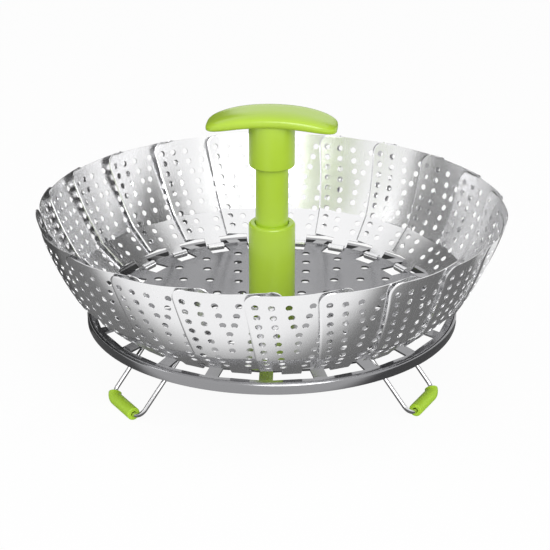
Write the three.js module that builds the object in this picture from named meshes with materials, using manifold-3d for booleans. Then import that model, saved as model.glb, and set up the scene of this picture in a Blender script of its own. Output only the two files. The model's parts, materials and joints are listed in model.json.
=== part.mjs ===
// Folding steamer basket: hinged petals round a perforated tray, a telescopic post with a T-grip, wire legs.
// Millimetres, +Z up. The post stands on the Z axis, the feet stand on Z = 0 and the front faces -Y.

import * as THREE from "three";
import { mergeVertices } from "three/addons/utils/BufferGeometryUtils.js";
import Module from "manifold-3d";

const wasm = await Module();
wasm.setup();

// Clearances
const RUNNING_GAP = 0.3; // between pieces that move on each other
const SEAT_GAP = 0.15; // between pieces that are fixed to each other
const CUT_MARGIN = 2; // how far a cutting tool reaches past the piece it cuts
const MERGE_DISTANCE = 1e-4; // corners closer than this are one corner

// Tray
const TRAY_RADIUS = 93.8;
const TRAY_HEIGHT = 40.4; // top of the tray's flange above the floor
const TRAY_SHEET = 1;
const TRAY_RISE = 1.2; // the middle of the tray stands this far above its flange
const RIM_DROP = 5.5; // height of the turned-down rim
const RIM_ROUND = 1.6; // radius of the rim's top edge
const RIM_ROUND_STEPS = 2;
const FLANGE_WIDTH = 4.4;
const RIM_SIDES = 66;

// Petal hinges, cut out of the tray
const PETAL_COUNT = 22;
const PETAL_TURN = 6.4; // degrees from the front to the middle of the first petal
const HINGE_INSET = 13.1; // from the tray's edge in to the hinge line
const HINGE_BAR_WIDTH = 2.4;
const SPOKE_WIDTH = 6.4; // metal between two windows
const SLOT_LENGTH = 8.6; // radial length of the slot inside each hinge bar
const TAB_SIDE_GAP = 0.8; // beside the petal's tab in its slot

// Steam holes in the tray
const STEAM_HOLE_RADIUS = 2.2;
const STEAM_HOLE_SIDES = 6;
const STEAM_HOLE_SPACING = 19; // along each ring
const STEAM_RING_SPACING = 12; // from ring to ring
const STEAM_MARGIN = 3; // metal left between a steam hole and the slots or the socket

// Petals: a straight lower part, a crease and a wall that curves up to the rounded top corners
const PETAL_SHEET = 0.4;
const PETAL_LOW_LENGTH = 22.5; // from the hinge to the crease
const PETAL_WALL_LENGTH = 42.5; // from the crease to the top edge
const PETAL_LOW_ANGLE = 42; // degrees from level
const PETAL_WALL_ANGLE = 58.5; // degrees from level, just above the crease
const PETAL_TOP_ANGLE = 74; // degrees from level, at the top edge
const PETAL_LOW_WIDTH = 31;
const PETAL_TOP_WIDTH = 51;
const PETAL_CORNER = 6.5; // radius of the two top corners
const PETAL_LOW_BOW = 110; // radius of the petal's cross section at its foot
const PETAL_TOP_BOW = 80; // radius of the petal's cross section at its top edge
const PETAL_LOW_ROLL = 3.5; // degrees that one edge stands out, so that the petals lie over each other
const PETAL_TOP_ROLL = 4.2;
const PETAL_CORNER_SHARES = [0.66, 1]; // rows inside the rounded corners, as shares of the corner's height
const TAB_WIDTH = 9;
const TAB_LENGTH = 6.5; // from the hinge up to the petal's foot
const TAB_LAP = 2; // how far the tab runs on into the petal
const CURL_SWEEP = 250; // degrees
const CURL_STEPS = 7;

// Openings in the petals: a plain grid with the open area of rows of small round holes
const OPENING_COLUMNS = 4;
const LOW_OPENING_ROWS = 1; // below the crease
const WALL_OPENING_ROWS = 3; // above it
const OPENING_SHARE = 0.45; // of each step of the grid, along the petal and across it

// Legs
const LEG_NAMES = ["left", "right", "rear"];
const LEG_ANGLES = [-60, 60, 180]; // degrees from the front, before LEG_TURN
const LEG_TURN = 1.6; // degrees that the three legs are turned from there
const LEG_WIRE_RADIUS = 1.1;
const LEG_WIRE_SIDES = 8;
const LEG_PIVOT_INSET = 22.7; // from the petals' hinge line in to the leg's pivot
const LEG_PIVOT_DROP = 4; // from the bracket's web down to the pivot
const LEG_PIVOT_HALF = 15; // from the middle of the leg to the wire at the pivot
const LEG_FOOT_HALF = 15; // from the middle of the leg to the wire beside the foot
const LEG_SPREAD = 27; // how far the foot stands outside the pivot
const LEG_BEND_RADIUS = 4.5; // of the wire's middle, at the pivots
const LEG_FOOT_BEND = 5.5; // of the wire's middle, beside the foot
const LEG_BEND_STEPS = 5;
const SLEEVE_RADIUS = 3.4;
const SLEEVE_SIDES = 12;
const SLEEVE_BEND_STEPS = 3; // steps of one bend that the soft sleeve is pushed round
const SLEEVE_ENDS = [1, -1, 1]; // the side of each leg's pushed-on bend

// Leg brackets and rivets
const BRACKET_SHEET = 1.2;
const BRACKET_INNER = 4.5; // from the pivot in to the web's inner edge
const BRACKET_LIP = 1.4; // metal left round the pivot hole
const STOP_WIDTH = 4.6; // width of each tab that stops a leg
const STOP_REACH = 3.6; // how far below the pivot the stop tabs reach
const RIVET_EAR_GAP = 1.1; // from a rivet's closed end to the bracket's ear
const RIVET_RADIUS = 1.5;
const RIVET_HEAD_RADIUS = 3;
const RIVET_HEAD_HEIGHT = 1.4;
const RIVET_HEAD_STEPS = 3;
const RIVET_TAIL_RADIUS = 2.6;
const RIVET_TAIL_HEIGHT = 1;
const RIVET_SIDES = 10;

// Post
const TUBE_RADIUS = 8.2;
const TUBE_WALL = 2.8;
const TUBE_TRAVEL = 29.5; // tube shown between the socket and the grip, which is also the handle's stroke
const TUBE_SEAT_DEPTH = 19.5; // how far the tube goes up into the grip
const FLANGE_REACH = 1.7; // from the tube's outside to the socket's bore
const FLANGE_HEIGHT = 2;
const RING_HEIGHT = 4.1;
const SOCKET_WALL = 1.8;
const SOCKET_LIP_HEIGHT = 3;
const SOCKET_EDGE = 1; // chamfer on the socket's top edge
const PLUG_FLOOR = 2.9;
const BOSS_GAP = 0.6; // between the plug's boss and the inside of the tube
const BOSS_HEIGHT = 10;
const SCREW_RADIUS = 1.75;
const SCREW_REACH = 9; // how far the screw goes up above the tray
const SCREW_HEAD_RADIUS = 4;
const SCREW_HEAD_HEIGHT = 2.4;
const SCREW_SLOT_WIDTH = 1;
const SCREW_SLOT_DEPTH = 1.2;
const WASHER_RADIUS = 6;
const WASHER_HEIGHT = 1;
const ROUND_SIDES = 32;
const SMALL_SIDES = 16;

// T-grip
const GRIP_TURN = -4.5; // degrees about the post
const GRIP_WALL = 3.2; // from the tube's outside to the outside of the grip's sleeve
const GRIP_SLEEVE_HEIGHT = 21.5;
const GRIP_SLEEVE_EDGE = 1; // chamfer on the sleeve's lower edge
const PADDLE_HALF_LENGTH = 32.2;
const PADDLE_HALF_WIDTH = 13.7;
const PADDLE_HALF_EDGE = 3.6; // half of the paddle's thickness at its edge
const PADDLE_CROWN = 0.5; // extra height in the middle of the paddle's top
const PADDLE_DROOP = 4.9; // how far the paddle's ends hang below its middle
const PADDLE_LAP = 3; // how far the sleeve runs up into the paddle
const PADDLE_FLATNESS = 0.66; // power that makes the paddle's section a flat oval
const PADDLE_FULLNESS = 4.1; // power that makes the paddle's outline blunter than an oval, which is 2
const PADDLE_SIDES = 32;
const PADDLE_RINGS = 8;

// Places that follow from the sizes above
const TRAY_TOP = TRAY_HEIGHT + TRAY_RISE;
const TRAY_UNDERSIDE = TRAY_TOP - TRAY_SHEET;
const HINGE_RADIUS = TRAY_RADIUS - HINGE_INSET;
const HINGE_HEIGHT = TRAY_TOP - TRAY_SHEET / 2;
const CURL_RADIUS = Math.hypot(HINGE_BAR_WIDTH / 2, TRAY_SHEET / 2) + RUNNING_GAP; // inside of the curl
const WINDOW_INNER = HINGE_RADIUS + HINGE_BAR_WIDTH / 2;
const WINDOW_OUTER = TRAY_RADIUS - FLANGE_WIDTH;
const SLOT_OUTER = HINGE_RADIUS - HINGE_BAR_WIDTH / 2;
const SLOT_INNER = SLOT_OUTER - SLOT_LENGTH;
const PETAL_PITCH = 360 / PETAL_COUNT;
const PETAL_LENGTH = PETAL_LOW_LENGTH + PETAL_WALL_LENGTH;
const WEB_TOP = TRAY_UNDERSIDE - SEAT_GAP;
const WEB_UNDERSIDE = WEB_TOP - BRACKET_SHEET;
const LEG_PIVOT_RADIUS = HINGE_RADIUS - LEG_PIVOT_INSET;
const LEG_PIVOT_HEIGHT = WEB_UNDERSIDE - LEG_PIVOT_DROP;
const LEG_FOOT_RADIUS = LEG_PIVOT_RADIUS + LEG_SPREAD;
const LEG_FOOT_HEIGHT = SLEEVE_RADIUS * Math.cos(Math.PI / SLEEVE_SIDES); // the sleeve lies on a flat side
const EAR_INSIDE = LEG_PIVOT_HALF - LEG_WIRE_RADIUS - RUNNING_GAP - BRACKET_SHEET - LEG_BEND_RADIUS;
const RIVET_HALF_SPACING = EAR_INSIDE - RIVET_TAIL_RADIUS - RIVET_EAR_GAP;
const SOCKET_BORE = TUBE_RADIUS + FLANGE_REACH;
const SOCKET_RADIUS = SOCKET_BORE + SOCKET_WALL;
const SOCKET_FOOT = TRAY_TOP + SEAT_GAP;
const PLUG_TOP = SOCKET_FOOT + PLUG_FLOOR;
const FLANGE_BOTTOM = PLUG_TOP + RUNNING_GAP + TUBE_TRAVEL;
const RING_BOTTOM = FLANGE_BOTTOM + FLANGE_HEIGHT + SEAT_GAP;
const LIP_BOTTOM = RING_BOTTOM + RING_HEIGHT + RUNNING_GAP;
const SOCKET_TOP = LIP_BOTTOM + SOCKET_LIP_HEIGHT;
const GRIP_BOTTOM = SOCKET_TOP + RUNNING_GAP + TUBE_TRAVEL;
const GRIP_SLEEVE_RADIUS = TUBE_RADIUS + GRIP_WALL;
const PADDLE_BOTTOM = GRIP_BOTTOM + GRIP_SLEEVE_HEIGHT;

// Looks
const STEEL = { color: 0xc9ccd0, metalness: 1, roughness: 0.25 };
const TRAY_STEEL = { color: 0xa8acb0, metalness: 1, roughness: 0.3 };
const WIRE_STEEL = { color: 0xd6d8da, metalness: 1, roughness: 0.15 };
const GREEN = { color: 0xa9cf3a, metalness: 0, roughness: 0.55 };
const DARK_RUBBER = { color: 0x2a2c2b, metalness: 0, roughness: 0.8 };
const PALE_PLASTIC = { color: 0xd9dcd6, metalness: 0, roughness: 0.6 };

const { degToRad, lerp } = THREE.MathUtils;
const basket = new THREE.Group();
basket.name = "steamer_basket";

// Adds one named piece, with its own material, to the basket or to a group in it.
function addPiece(name, geometry, look, parent = basket) {
  const mesh = new THREE.Mesh(geometry, new THREE.MeshStandardMaterial(look));
  mesh.name = name;
  parent.add(mesh);
  return mesh;
}

// A group for what is built along +Y, turned to an angle measured from the front of the basket towards +X.
function turnedGroup(degreesFromFront) {
  const group = new THREE.Group();
  group.rotation.z = turnFromFront(degreesFromFront);
  basket.add(group);
  return group;
}

function turnFromFront(degrees) {
  return degToRad(degrees + 180);
}

// Keeps only positions, merges shared corners, drops flat triangles and turns the faces outwards.
function closedGeometry(geometry) {
  const bare = new THREE.BufferGeometry();
  bare.setAttribute("position", geometry.getAttribute("position").clone());
  if (geometry.index) {
    bare.setIndex(geometry.index.clone());
  }
  const merged = mergeVertices(bare, MERGE_DISTANCE);
  const place = merged.getAttribute("position");
  const index = merged.getIndex().array;
  const corners = [new THREE.Vector3(), new THREE.Vector3(), new THREE.Vector3()];
  const triangles = [];
  let volume = 0;
  for (let i = 0; i < index.length; i += 3) {
    const triangle = [index[i], index[i + 1], index[i + 2]];
    if (new Set(triangle).size === 3) {
      triangles.push(...triangle);
      triangle.forEach((k, n) => corners[n].fromBufferAttribute(place, k));
      volume += corners[0].dot(corners[1].cross(corners[2]));
    }
  }
  if (volume < 0) {
    triangles.reverse();
  }
  merged.setIndex(triangles);
  return merged;
}

function toSolid(geometry) {
  const closed = closedGeometry(geometry);
  const vertProperties = Float32Array.from(closed.getAttribute("position").array);
  const triVerts = Uint32Array.from(closed.getIndex().array);
  return new wasm.Manifold(new wasm.Mesh({ numProp: 3, vertProperties, triVerts }));
}

// Joins a list of geometries, then cuts another list out of them.
function joinAndCut(joined, cuts = []) {
  let solid = toSolid(joined[0]);
  for (const geometry of joined.slice(1)) {
    solid = solid.add(toSolid(geometry));
  }
  for (const geometry of cuts) {
    solid = solid.subtract(toSolid(geometry));
  }
  const mesh = solid.getMesh();
  const result = new THREE.BufferGeometry();
  result.setAttribute("position", new THREE.BufferAttribute(mesh.vertProperties, 3));
  result.setIndex(new THREE.BufferAttribute(mesh.triVerts, 1));
  return result;
}

// A turned piece about the Z axis. Each profile point is [radius, height].
function turned(profile, sides) {
  const points = profile.map(([radius, height]) => new THREE.Vector2(radius, height));
  return closedGeometry(new THREE.LatheGeometry(points, sides).rotateX(Math.PI / 2));
}

// A turned ring: its profile closes on itself.
function turnedRing(profile, sides) {
  return turned([...profile, profile[0]], sides);
}

// An upright cylinder between two heights.
function upright(radius, bottom, top, sides) {
  const geometry = new THREE.CylinderGeometry(radius, radius, top - bottom, sides);
  return geometry.rotateX(Math.PI / 2).translate(0, 0, (top + bottom) / 2);
}

// A box between two corners.
function block(low, high) {
  const geometry = new THREE.BoxGeometry(high[0] - low[0], high[1] - low[1], high[2] - low[2]);
  return geometry.translate((high[0] + low[0]) / 2, (high[1] + low[1]) / 2, (high[2] + low[2]) / 2);
}

// A flat outline of [x, y] points pushed up between two heights.
function prism(outline, bottom, top) {
  const shape = new THREE.Shape(outline.map(([x, y]) => new THREE.Vector2(x, y)));
  const geometry = new THREE.ExtrudeGeometry(shape, { depth: top - bottom, bevelEnabled: false });
  return geometry.translate(0, 0, bottom);
}

// Radius of a many-sided pin that clears the inside of a many-sided bore.
function fitInside(bore, gap) {
  return bore * Math.cos(Math.PI / ROUND_SIDES) - gap;
}

// Radius of a many-sided bore that clears the outside of a many-sided pin.
function fitOutside(pin, gap) {
  return (pin + gap) / Math.cos(Math.PI / ROUND_SIDES);
}

// A cylinder that cuts right through the tray at a place in plan.
function trayDrill(radius, sides, place) {
  const drill = upright(radius, TRAY_UNDERSIDE - CUT_MARGIN, TRAY_TOP + CUT_MARGIN, sides);
  return drill.translate(place.x, place.y, 0);
}

// Where the rivets stand in plan.
function rivetPlaces() {
  return LEG_ANGLES.flatMap((angle) => {
    const turn = turnFromFront(angle + LEG_TURN);
    const places = [-1, 1].map((side) => new THREE.Vector2(side * RIVET_HALF_SPACING, LEG_PIVOT_RADIUS));
    return places.map((place) => place.rotateAround(new THREE.Vector2(), turn));
  });
}

// Rings of steam holes between the petals' slots and the socket, clear of the rivets.
function steamHolePlaces() {
  const places = [];
  const rivets = rivetPlaces();
  const firstRing = SLOT_INNER - STEAM_MARGIN - STEAM_HOLE_RADIUS;
  const lastRing = SOCKET_RADIUS + STEAM_MARGIN + STEAM_HOLE_RADIUS;
  const rivetRoom = RIVET_HEAD_RADIUS + STEAM_HOLE_RADIUS;
  for (let ring = firstRing; ring >= lastRing; ring -= STEAM_RING_SPACING) {
    const count = Math.round((2 * Math.PI * ring) / STEAM_HOLE_SPACING);
    for (let k = 0; k < count; k += 1) {
      const place = new THREE.Vector2(0, ring).rotateAround(new THREE.Vector2(), (2 * Math.PI * k) / count);
      if (rivets.every((rivet) => rivet.distanceTo(place) > rivetRoom)) {
        places.push(place);
      }
    }
  }
  return places;
}

// The window outside each hinge bar and the slot inside it leave the bar that the petal's tab curls round.
function hingeCuts() {
  const halfPitch = degToRad(PETAL_PITCH / 2);
  const windowHalf = (radius) => radius * Math.tan(halfPitch) - SPOKE_WIDTH / 2 / Math.cos(halfPitch);
  const slotHalf = TAB_WIDTH / 2 + TAB_SIDE_GAP;
  const trapezium = (outer, outerHalf, inner, innerHalf) => [
    [-outerHalf, outer],
    [-innerHalf, inner],
    [innerHalf, inner],
    [outerHalf, outer],
  ];
  const outlines = [
    trapezium(WINDOW_OUTER, windowHalf(WINDOW_OUTER), WINDOW_INNER, windowHalf(WINDOW_INNER)),
    trapezium(SLOT_OUTER, slotHalf, SLOT_INNER, slotHalf),
  ];
  const low = TRAY_HEIGHT - TRAY_SHEET - CUT_MARGIN;
  const high = TRAY_TOP + CUT_MARGIN;
  const cuts = [];
  for (let k = 0; k < PETAL_COUNT; k += 1) {
    const turn = turnFromFront(PETAL_TURN + k * PETAL_PITCH);
    cuts.push(...outlines.map((outline) => prism(outline, low, high).rotateZ(turn)));
  }
  return cuts;
}

// The tray: a raised middle, a sloped step with the windows, a flat flange and a turned-down rim.
function trayBlank() {
  const flangeUnderside = TRAY_HEIGHT - TRAY_SHEET;
  const inside = TRAY_RADIUS - TRAY_SHEET;
  const insideRound = Math.max(RIM_ROUND - TRAY_SHEET, 0);
  const stepTop = WINDOW_INNER + TRAY_SHEET / 2;
  const roundEdge = [];
  for (let k = 0; k <= RIM_ROUND_STEPS; k += 1) {
    const angle = ((Math.PI / 2) * k) / RIM_ROUND_STEPS;
    const out = TRAY_RADIUS - RIM_ROUND + RIM_ROUND * Math.cos(angle);
    roundEdge.push([out, TRAY_HEIGHT - RIM_ROUND + RIM_ROUND * Math.sin(angle)]);
  }
  const profile = [
    [0, TRAY_UNDERSIDE],
    [stepTop, TRAY_UNDERSIDE],
    [WINDOW_OUTER, flangeUnderside],
    [inside - insideRound, flangeUnderside],
    [inside, flangeUnderside - insideRound],
    [inside, TRAY_HEIGHT - RIM_DROP],
    [TRAY_RADIUS, TRAY_HEIGHT - RIM_DROP],
    ...roundEdge,
    [WINDOW_OUTER, TRAY_HEIGHT],
    [stepTop, TRAY_TOP],
    [0, TRAY_TOP],
  ];
  return turned(profile, RIM_SIDES);
}

function buildTray() {
  const steamHoles = steamHolePlaces().map((place) => trayDrill(STEAM_HOLE_RADIUS, STEAM_HOLE_SIDES, place));
  const rivetHoles = rivetPlaces().map((place) => trayDrill(RIVET_RADIUS + SEAT_GAP, RIVET_SIDES, place));
  const screwHole = trayDrill(SCREW_RADIUS + RUNNING_GAP, SMALL_SIDES, new THREE.Vector2());
  const cuts = [...hingeCuts(), ...steamHoles, ...rivetHoles, screwHole];
  addPiece("base_tray", joinAndCut([trayBlank()], cuts), TRAY_STEEL);
}

// The middle line of a petal, in its own frame: X along the hinge, Y outwards, Z up, the hinge at the origin.
function petalLine(distance) {
  const low = degToRad(PETAL_LOW_ANGLE);
  const wall = degToRad(PETAL_WALL_ANGLE);
  const wallRadius = PETAL_WALL_LENGTH / (degToRad(PETAL_TOP_ANGLE) - wall);
  const straight = Math.min(distance, PETAL_LOW_LENGTH);
  const curl = CURL_RADIUS + PETAL_SHEET / 2;
  const line = {
    y: curl * Math.sin(low) + straight * Math.cos(low),
    z: straight * Math.sin(low) - curl * Math.cos(low),
    angle: low,
  };
  if (distance >= PETAL_LOW_LENGTH) {
    const angle = wall + (distance - PETAL_LOW_LENGTH) / wallRadius;
    line.y += wallRadius * (Math.sin(angle) - Math.sin(wall));
    line.z += wallRadius * (Math.cos(wall) - Math.cos(angle));
    line.angle = distance > PETAL_LOW_LENGTH ? angle : (low + wall) / 2;
  }
  return line;
}

// Lines that part a stretch into equal steps, each with metal first and then an opening.
function openingLines(from, to, openings) {
  const step = (to - from) / openings;
  const lines = [];
  for (let k = 1; k <= openings; k += 1) {
    lines.push(from + (k - OPENING_SHARE) * step, from + k * step);
  }
  return lines;
}

// Distances from the hinge at which the petal has a row of corners.
function petalRows() {
  const cornerStart = PETAL_LENGTH - PETAL_CORNER;
  return [
    TAB_LENGTH,
    ...openingLines(TAB_LENGTH, PETAL_LOW_LENGTH, LOW_OPENING_ROWS),
    ...openingLines(PETAL_LOW_LENGTH, cornerStart, WALL_OPENING_ROWS),
    ...PETAL_CORNER_SHARES.map((share) => cornerStart + share * PETAL_CORNER),
  ];
}

// Shares of the petal's half width at which each row has a corner, from edge to edge.
function petalColumns() {
  const step = 2 / (OPENING_COLUMNS + 1 - OPENING_SHARE);
  return [-1, ...openingLines(-1, OPENING_COLUMNS * step - 1, OPENING_COLUMNS), 1];
}

// One row across the petal's inner face (side 1) or outer face (side -1): bowed, its +X edge rolled outwards.
function petalRow(distance, side) {
  const share = (distance - TAB_LENGTH) / (PETAL_LENGTH - TAB_LENGTH);
  const intoCorner = Math.max(0, distance - (PETAL_LENGTH - PETAL_CORNER));
  const cornerCut = PETAL_CORNER - Math.sqrt(Math.max(0, PETAL_CORNER ** 2 - intoCorner ** 2));
  const half = lerp(PETAL_LOW_WIDTH, PETAL_TOP_WIDTH, share) / 2 - cornerCut;
  const bow = lerp(1 / PETAL_LOW_BOW, 1 / PETAL_TOP_BOW, share);
  const roll = degToRad(lerp(PETAL_LOW_ROLL, PETAL_TOP_ROLL, share));
  const line = petalLine(distance);
  const row = [];
  for (const column of petalColumns()) {
    const across = half * column;
    const inwards = (bow * across ** 2) / 2 + (side * PETAL_SHEET) / 2;
    const lift = inwards * Math.cos(roll) - across * Math.sin(roll);
    const x = across * Math.cos(roll) + inwards * Math.sin(roll);
    row.push(x, line.y - lift * Math.sin(line.angle), line.z + lift * Math.cos(line.angle));
  }
  return row;
}

// The petal's sheet as a closed grid with openings: inner face, outer face and the edges between them.
function petalBlade() {
  const rows = petalRows();
  const across = petalColumns().length;
  const outer = rows.length * across;
  const openRows = 2 * (LOW_OPENING_ROWS + WALL_OPENING_ROWS);
  const isOpen = (row, column) => row < openRows && row % 2 === 1 && column % 2 === 1;
  const isInside = (row, column) => row >= 0 && column >= 0 && row < rows.length - 1 && column < across - 1;
  const isMetal = (row, column) => isInside(row, column) && !isOpen(row, column);
  const positions = [1, -1].flatMap((side) => rows.flatMap((distance) => petalRow(distance, side)));
  const triangles = [];
  const quad = (a, b, c, d) => triangles.push(a, b, c, a, c, d);
  const cell = (row, column) => {
    const low = row * across + column;
    const high = low + across;
    quad(low, low + 1, high + 1, high);
    quad(outer + low, outer + high, outer + high + 1, outer + low + 1);
    if (!isMetal(row, column - 1)) {
      quad(low, high, outer + high, outer + low);
    }
    if (!isMetal(row, column + 1)) {
      quad(low + 1, outer + low + 1, outer + high + 1, high + 1);
    }
    if (!isMetal(row - 1, column)) {
      quad(low, outer + low, outer + low + 1, low + 1);
    }
    if (!isMetal(row + 1, column)) {
      quad(high, high + 1, outer + high + 1, outer + high);
    }
  };
  for (let row = 0; row < rows.length - 1; row += 1) {
    for (let column = 0; column < across - 1; column += 1) {
      if (isMetal(row, column)) {
        cell(row, column);
      }
    }
  }
  const geometry = new THREE.BufferGeometry();
  geometry.setAttribute("position", new THREE.Float32BufferAttribute(positions, 3));
  geometry.setIndex(triangles);
  return geometry;
}

// The tab at the petal's foot: it runs down outside the hinge bar and curls round under it.
function petalTab() {
  const low = degToRad(PETAL_LOW_ANGLE);
  const start = low - Math.PI / 2;
  const end = start - degToRad(CURL_SWEEP);
  const along = new THREE.Vector2(TAB_LENGTH + TAB_LAP, 0).rotateAround(new THREE.Vector2(), low);
  const arc = (radius, from, to) => {
    const points = [];
    for (let k = 0; k <= CURL_STEPS; k += 1) {
      const angle = lerp(from, to, k / CURL_STEPS);
      points.push(new THREE.Vector2(radius * Math.cos(angle), radius * Math.sin(angle)));
    }
    return points;
  };
  const outside = arc(CURL_RADIUS + PETAL_SHEET, end, start);
  const inside = arc(CURL_RADIUS, start, end);
  const tip = [outside[CURL_STEPS].clone().add(along), inside[0].clone().add(along)];
  const outline = new THREE.Shape([...outside, ...tip, ...inside]);
  const geometry = new THREE.ExtrudeGeometry(outline, { depth: TAB_WIDTH, bevelEnabled: false });
  const alongHinge = new THREE.Matrix4().makeBasis(
    new THREE.Vector3(0, 1, 0),
    new THREE.Vector3(0, 0, 1),
    new THREE.Vector3(1, 0, 0),
  );
  return geometry.translate(0, 0, -TAB_WIDTH / 2).applyMatrix4(alongHinge);
}

function buildPetals() {
  const petal = joinAndCut([petalBlade(), petalTab()]);
  for (let k = 0; k < PETAL_COUNT; k += 1) {
    const name = `petal_${String(k + 1).padStart(2, "0")}`;
    const piece = addPiece(name, petal.clone(), STEEL, turnedGroup(PETAL_TURN + k * PETAL_PITCH));
    piece.position.set(0, HINGE_RADIUS, HINGE_HEIGHT);
  }
}

// A wire's middle line through given points, with one step of the tube for each of them.
class WireLine extends THREE.Curve {
  constructor(points) {
    super();
    this.points = points;
  }

  getPoint(t, target = new THREE.Vector3()) {
    const place = t * (this.points.length - 1);
    const first = Math.min(Math.floor(place), this.points.length - 2);
    return target.lerpVectors(this.points[first], this.points[first + 1], place - first);
  }

  getTangent(t, target = new THREE.Vector3()) {
    const nearest = Math.round(t * (this.points.length - 1));
    const before = this.points[Math.max(nearest - 1, 0)];
    const after = this.points[Math.min(nearest + 1, this.points.length - 1)];
    return target.subVectors(after, before).normalize();
  }

  getUtoTmapping(u) {
    return u;
  }
}

// The corners of an even outline with the first corner at a turn.
function evenSides(radius, sides, turn) {
  const corners = [];
  for (let k = 0; k < sides; k += 1) {
    const angle = turn + (2 * Math.PI * k) / sides;
    corners.push(new THREE.Vector2(radius * Math.cos(angle), radius * Math.sin(angle)));
  }
  return corners;
}

// A section drawn along a line of points.
function drawn(section, points) {
  const options = { steps: points.length - 1, extrudePath: new WireLine(points), bevelEnabled: false };
  return closedGeometry(new THREE.ExtrudeGeometry(section, options));
}

// Points of one round bend at a corner between two straight runs.
function bendPoints(before, corner, after, radius, steps) {
  const back = before.clone().sub(corner).normalize();
  const on = after.clone().sub(corner).normalize();
  const halfAngle = back.angleTo(on) / 2;
  const toCentre = back.clone().add(on).normalize();
  const centre = corner.clone().addScaledVector(toCentre, radius / Math.sin(halfAngle));
  const first = corner.clone().addScaledVector(back, radius / Math.tan(halfAngle)).sub(centre);
  const second = corner.clone().addScaledVector(on, radius / Math.tan(halfAngle)).sub(centre);
  const sweep = first.angleTo(second);
  const points = [];
  for (let k = 0; k <= steps; k += 1) {
    const spoke = first.clone().multiplyScalar(Math.sin((1 - k / steps) * sweep) / Math.sin(sweep));
    points.push(spoke.addScaledVector(second, Math.sin((k / steps) * sweep) / Math.sin(sweep)).add(centre));
  }
  return points;
}

// A place on the leg's pivot line, and one on the line of its foot.
function pivotPoint(x) {
  return new THREE.Vector3(x, LEG_PIVOT_RADIUS, LEG_PIVOT_HEIGHT);
}

function footPoint(x) {
  return new THREE.Vector3(x, LEG_FOOT_RADIUS, LEG_FOOT_HEIGHT);
}

// A leg's wire: pivot ends turned inwards, two straight sides and, past a wide bend in each, the foot.
function legWire() {
  const pinEnd = EAR_INSIDE - RUNNING_GAP;
  const corners = [
    pivotPoint(-pinEnd),
    pivotPoint(-LEG_PIVOT_HALF),
    footPoint(-LEG_FOOT_HALF),
    footPoint(LEG_FOOT_HALF),
    pivotPoint(LEG_PIVOT_HALF),
    pivotPoint(pinEnd),
  ];
  const bends = [LEG_BEND_RADIUS, LEG_FOOT_BEND, LEG_FOOT_BEND, LEG_BEND_RADIUS];
  const points = [corners[0]];
  bends.forEach((radius, k) => {
    points.push(...bendPoints(corners[k], corners[k + 1], corners[k + 2], radius, LEG_BEND_STEPS));
  });
  points.push(corners[corners.length - 1]);
  return drawn(new THREE.Shape(evenSides(LEG_WIRE_RADIUS, LEG_WIRE_SIDES, 0)), points);
}

// The soft sleeve on a leg's foot, pushed some way round the bend at one side, with a flat side down.
function legSleeve(side) {
  const plainEnd = footPoint(-side * (LEG_FOOT_HALF - LEG_FOOT_BEND - RUNNING_GAP));
  const top = pivotPoint(side * LEG_PIVOT_HALF);
  const bend = bendPoints(plainEnd, footPoint(side * LEG_FOOT_HALF), top, LEG_FOOT_BEND, LEG_BEND_STEPS);
  const flatDown = Math.PI / SLEEVE_SIDES;
  const section = new THREE.Shape(evenSides(SLEEVE_RADIUS, SLEEVE_SIDES, flatDown));
  section.holes.push(new THREE.Path(evenSides(LEG_WIRE_RADIUS + RUNNING_GAP, SLEEVE_SIDES, flatDown)));
  return drawn(section, [plainEnd, ...bend.slice(0, SLEEVE_BEND_STEPS + 1)]);
}

// The bracket under the tray: a web with two drilled ears for the pivots and two tabs that stop the leg.
function legBracket() {
  const splay = Math.atan2(LEG_SPREAD, LEG_PIVOT_HEIGHT - LEG_FOOT_HEIGHT);
  const wireOutside = STOP_REACH * Math.tan(splay) + LEG_WIRE_RADIUS / Math.cos(splay);
  const stopIn = LEG_PIVOT_RADIUS + wireOutside + RUNNING_GAP;
  const stopOut = stopIn + BRACKET_SHEET;
  const stopLow = LEG_PIVOT_HEIGHT - STOP_REACH;
  const webIn = LEG_PIVOT_RADIUS - BRACKET_INNER;
  const webHalf = LEG_PIVOT_HALF + STOP_WIDTH / 2;
  const earHalf = LEG_WIRE_RADIUS + RUNNING_GAP + BRACKET_LIP;
  const earLow = LEG_PIVOT_HEIGHT - earHalf;
  const earOutside = EAR_INSIDE + BRACKET_SHEET;
  const joined = [block([-webHalf, webIn, WEB_UNDERSIDE], [webHalf, stopOut, WEB_TOP])];
  const cuts = [];
  const pivotDrill = upright(LEG_WIRE_RADIUS + RUNNING_GAP, -webHalf, webHalf, SLEEVE_SIDES);
  const rivetDrill = upright(RIVET_RADIUS + SEAT_GAP, earLow, WEB_TOP + CUT_MARGIN, RIVET_SIDES);
  for (const side of [-1, 1]) {
    const ear = [side * EAR_INSIDE, side * earOutside];
    const stop = [side * (webHalf - STOP_WIDTH), side * webHalf];
    joined.push(
      block(
        [Math.min(...ear), LEG_PIVOT_RADIUS - earHalf, earLow],
        [Math.max(...ear), LEG_PIVOT_RADIUS + earHalf, WEB_TOP],
      ),
      block([Math.min(...stop), stopIn, stopLow], [Math.max(...stop), stopOut, WEB_TOP]),
    );
    cuts.push(rivetDrill.clone().translate(side * RIVET_HALF_SPACING, LEG_PIVOT_RADIUS, 0));
  }
  cuts.push(pivotDrill.rotateY(Math.PI / 2).translate(0, LEG_PIVOT_RADIUS, LEG_PIVOT_HEIGHT));
  return joinAndCut(joined, cuts);
}

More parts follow.
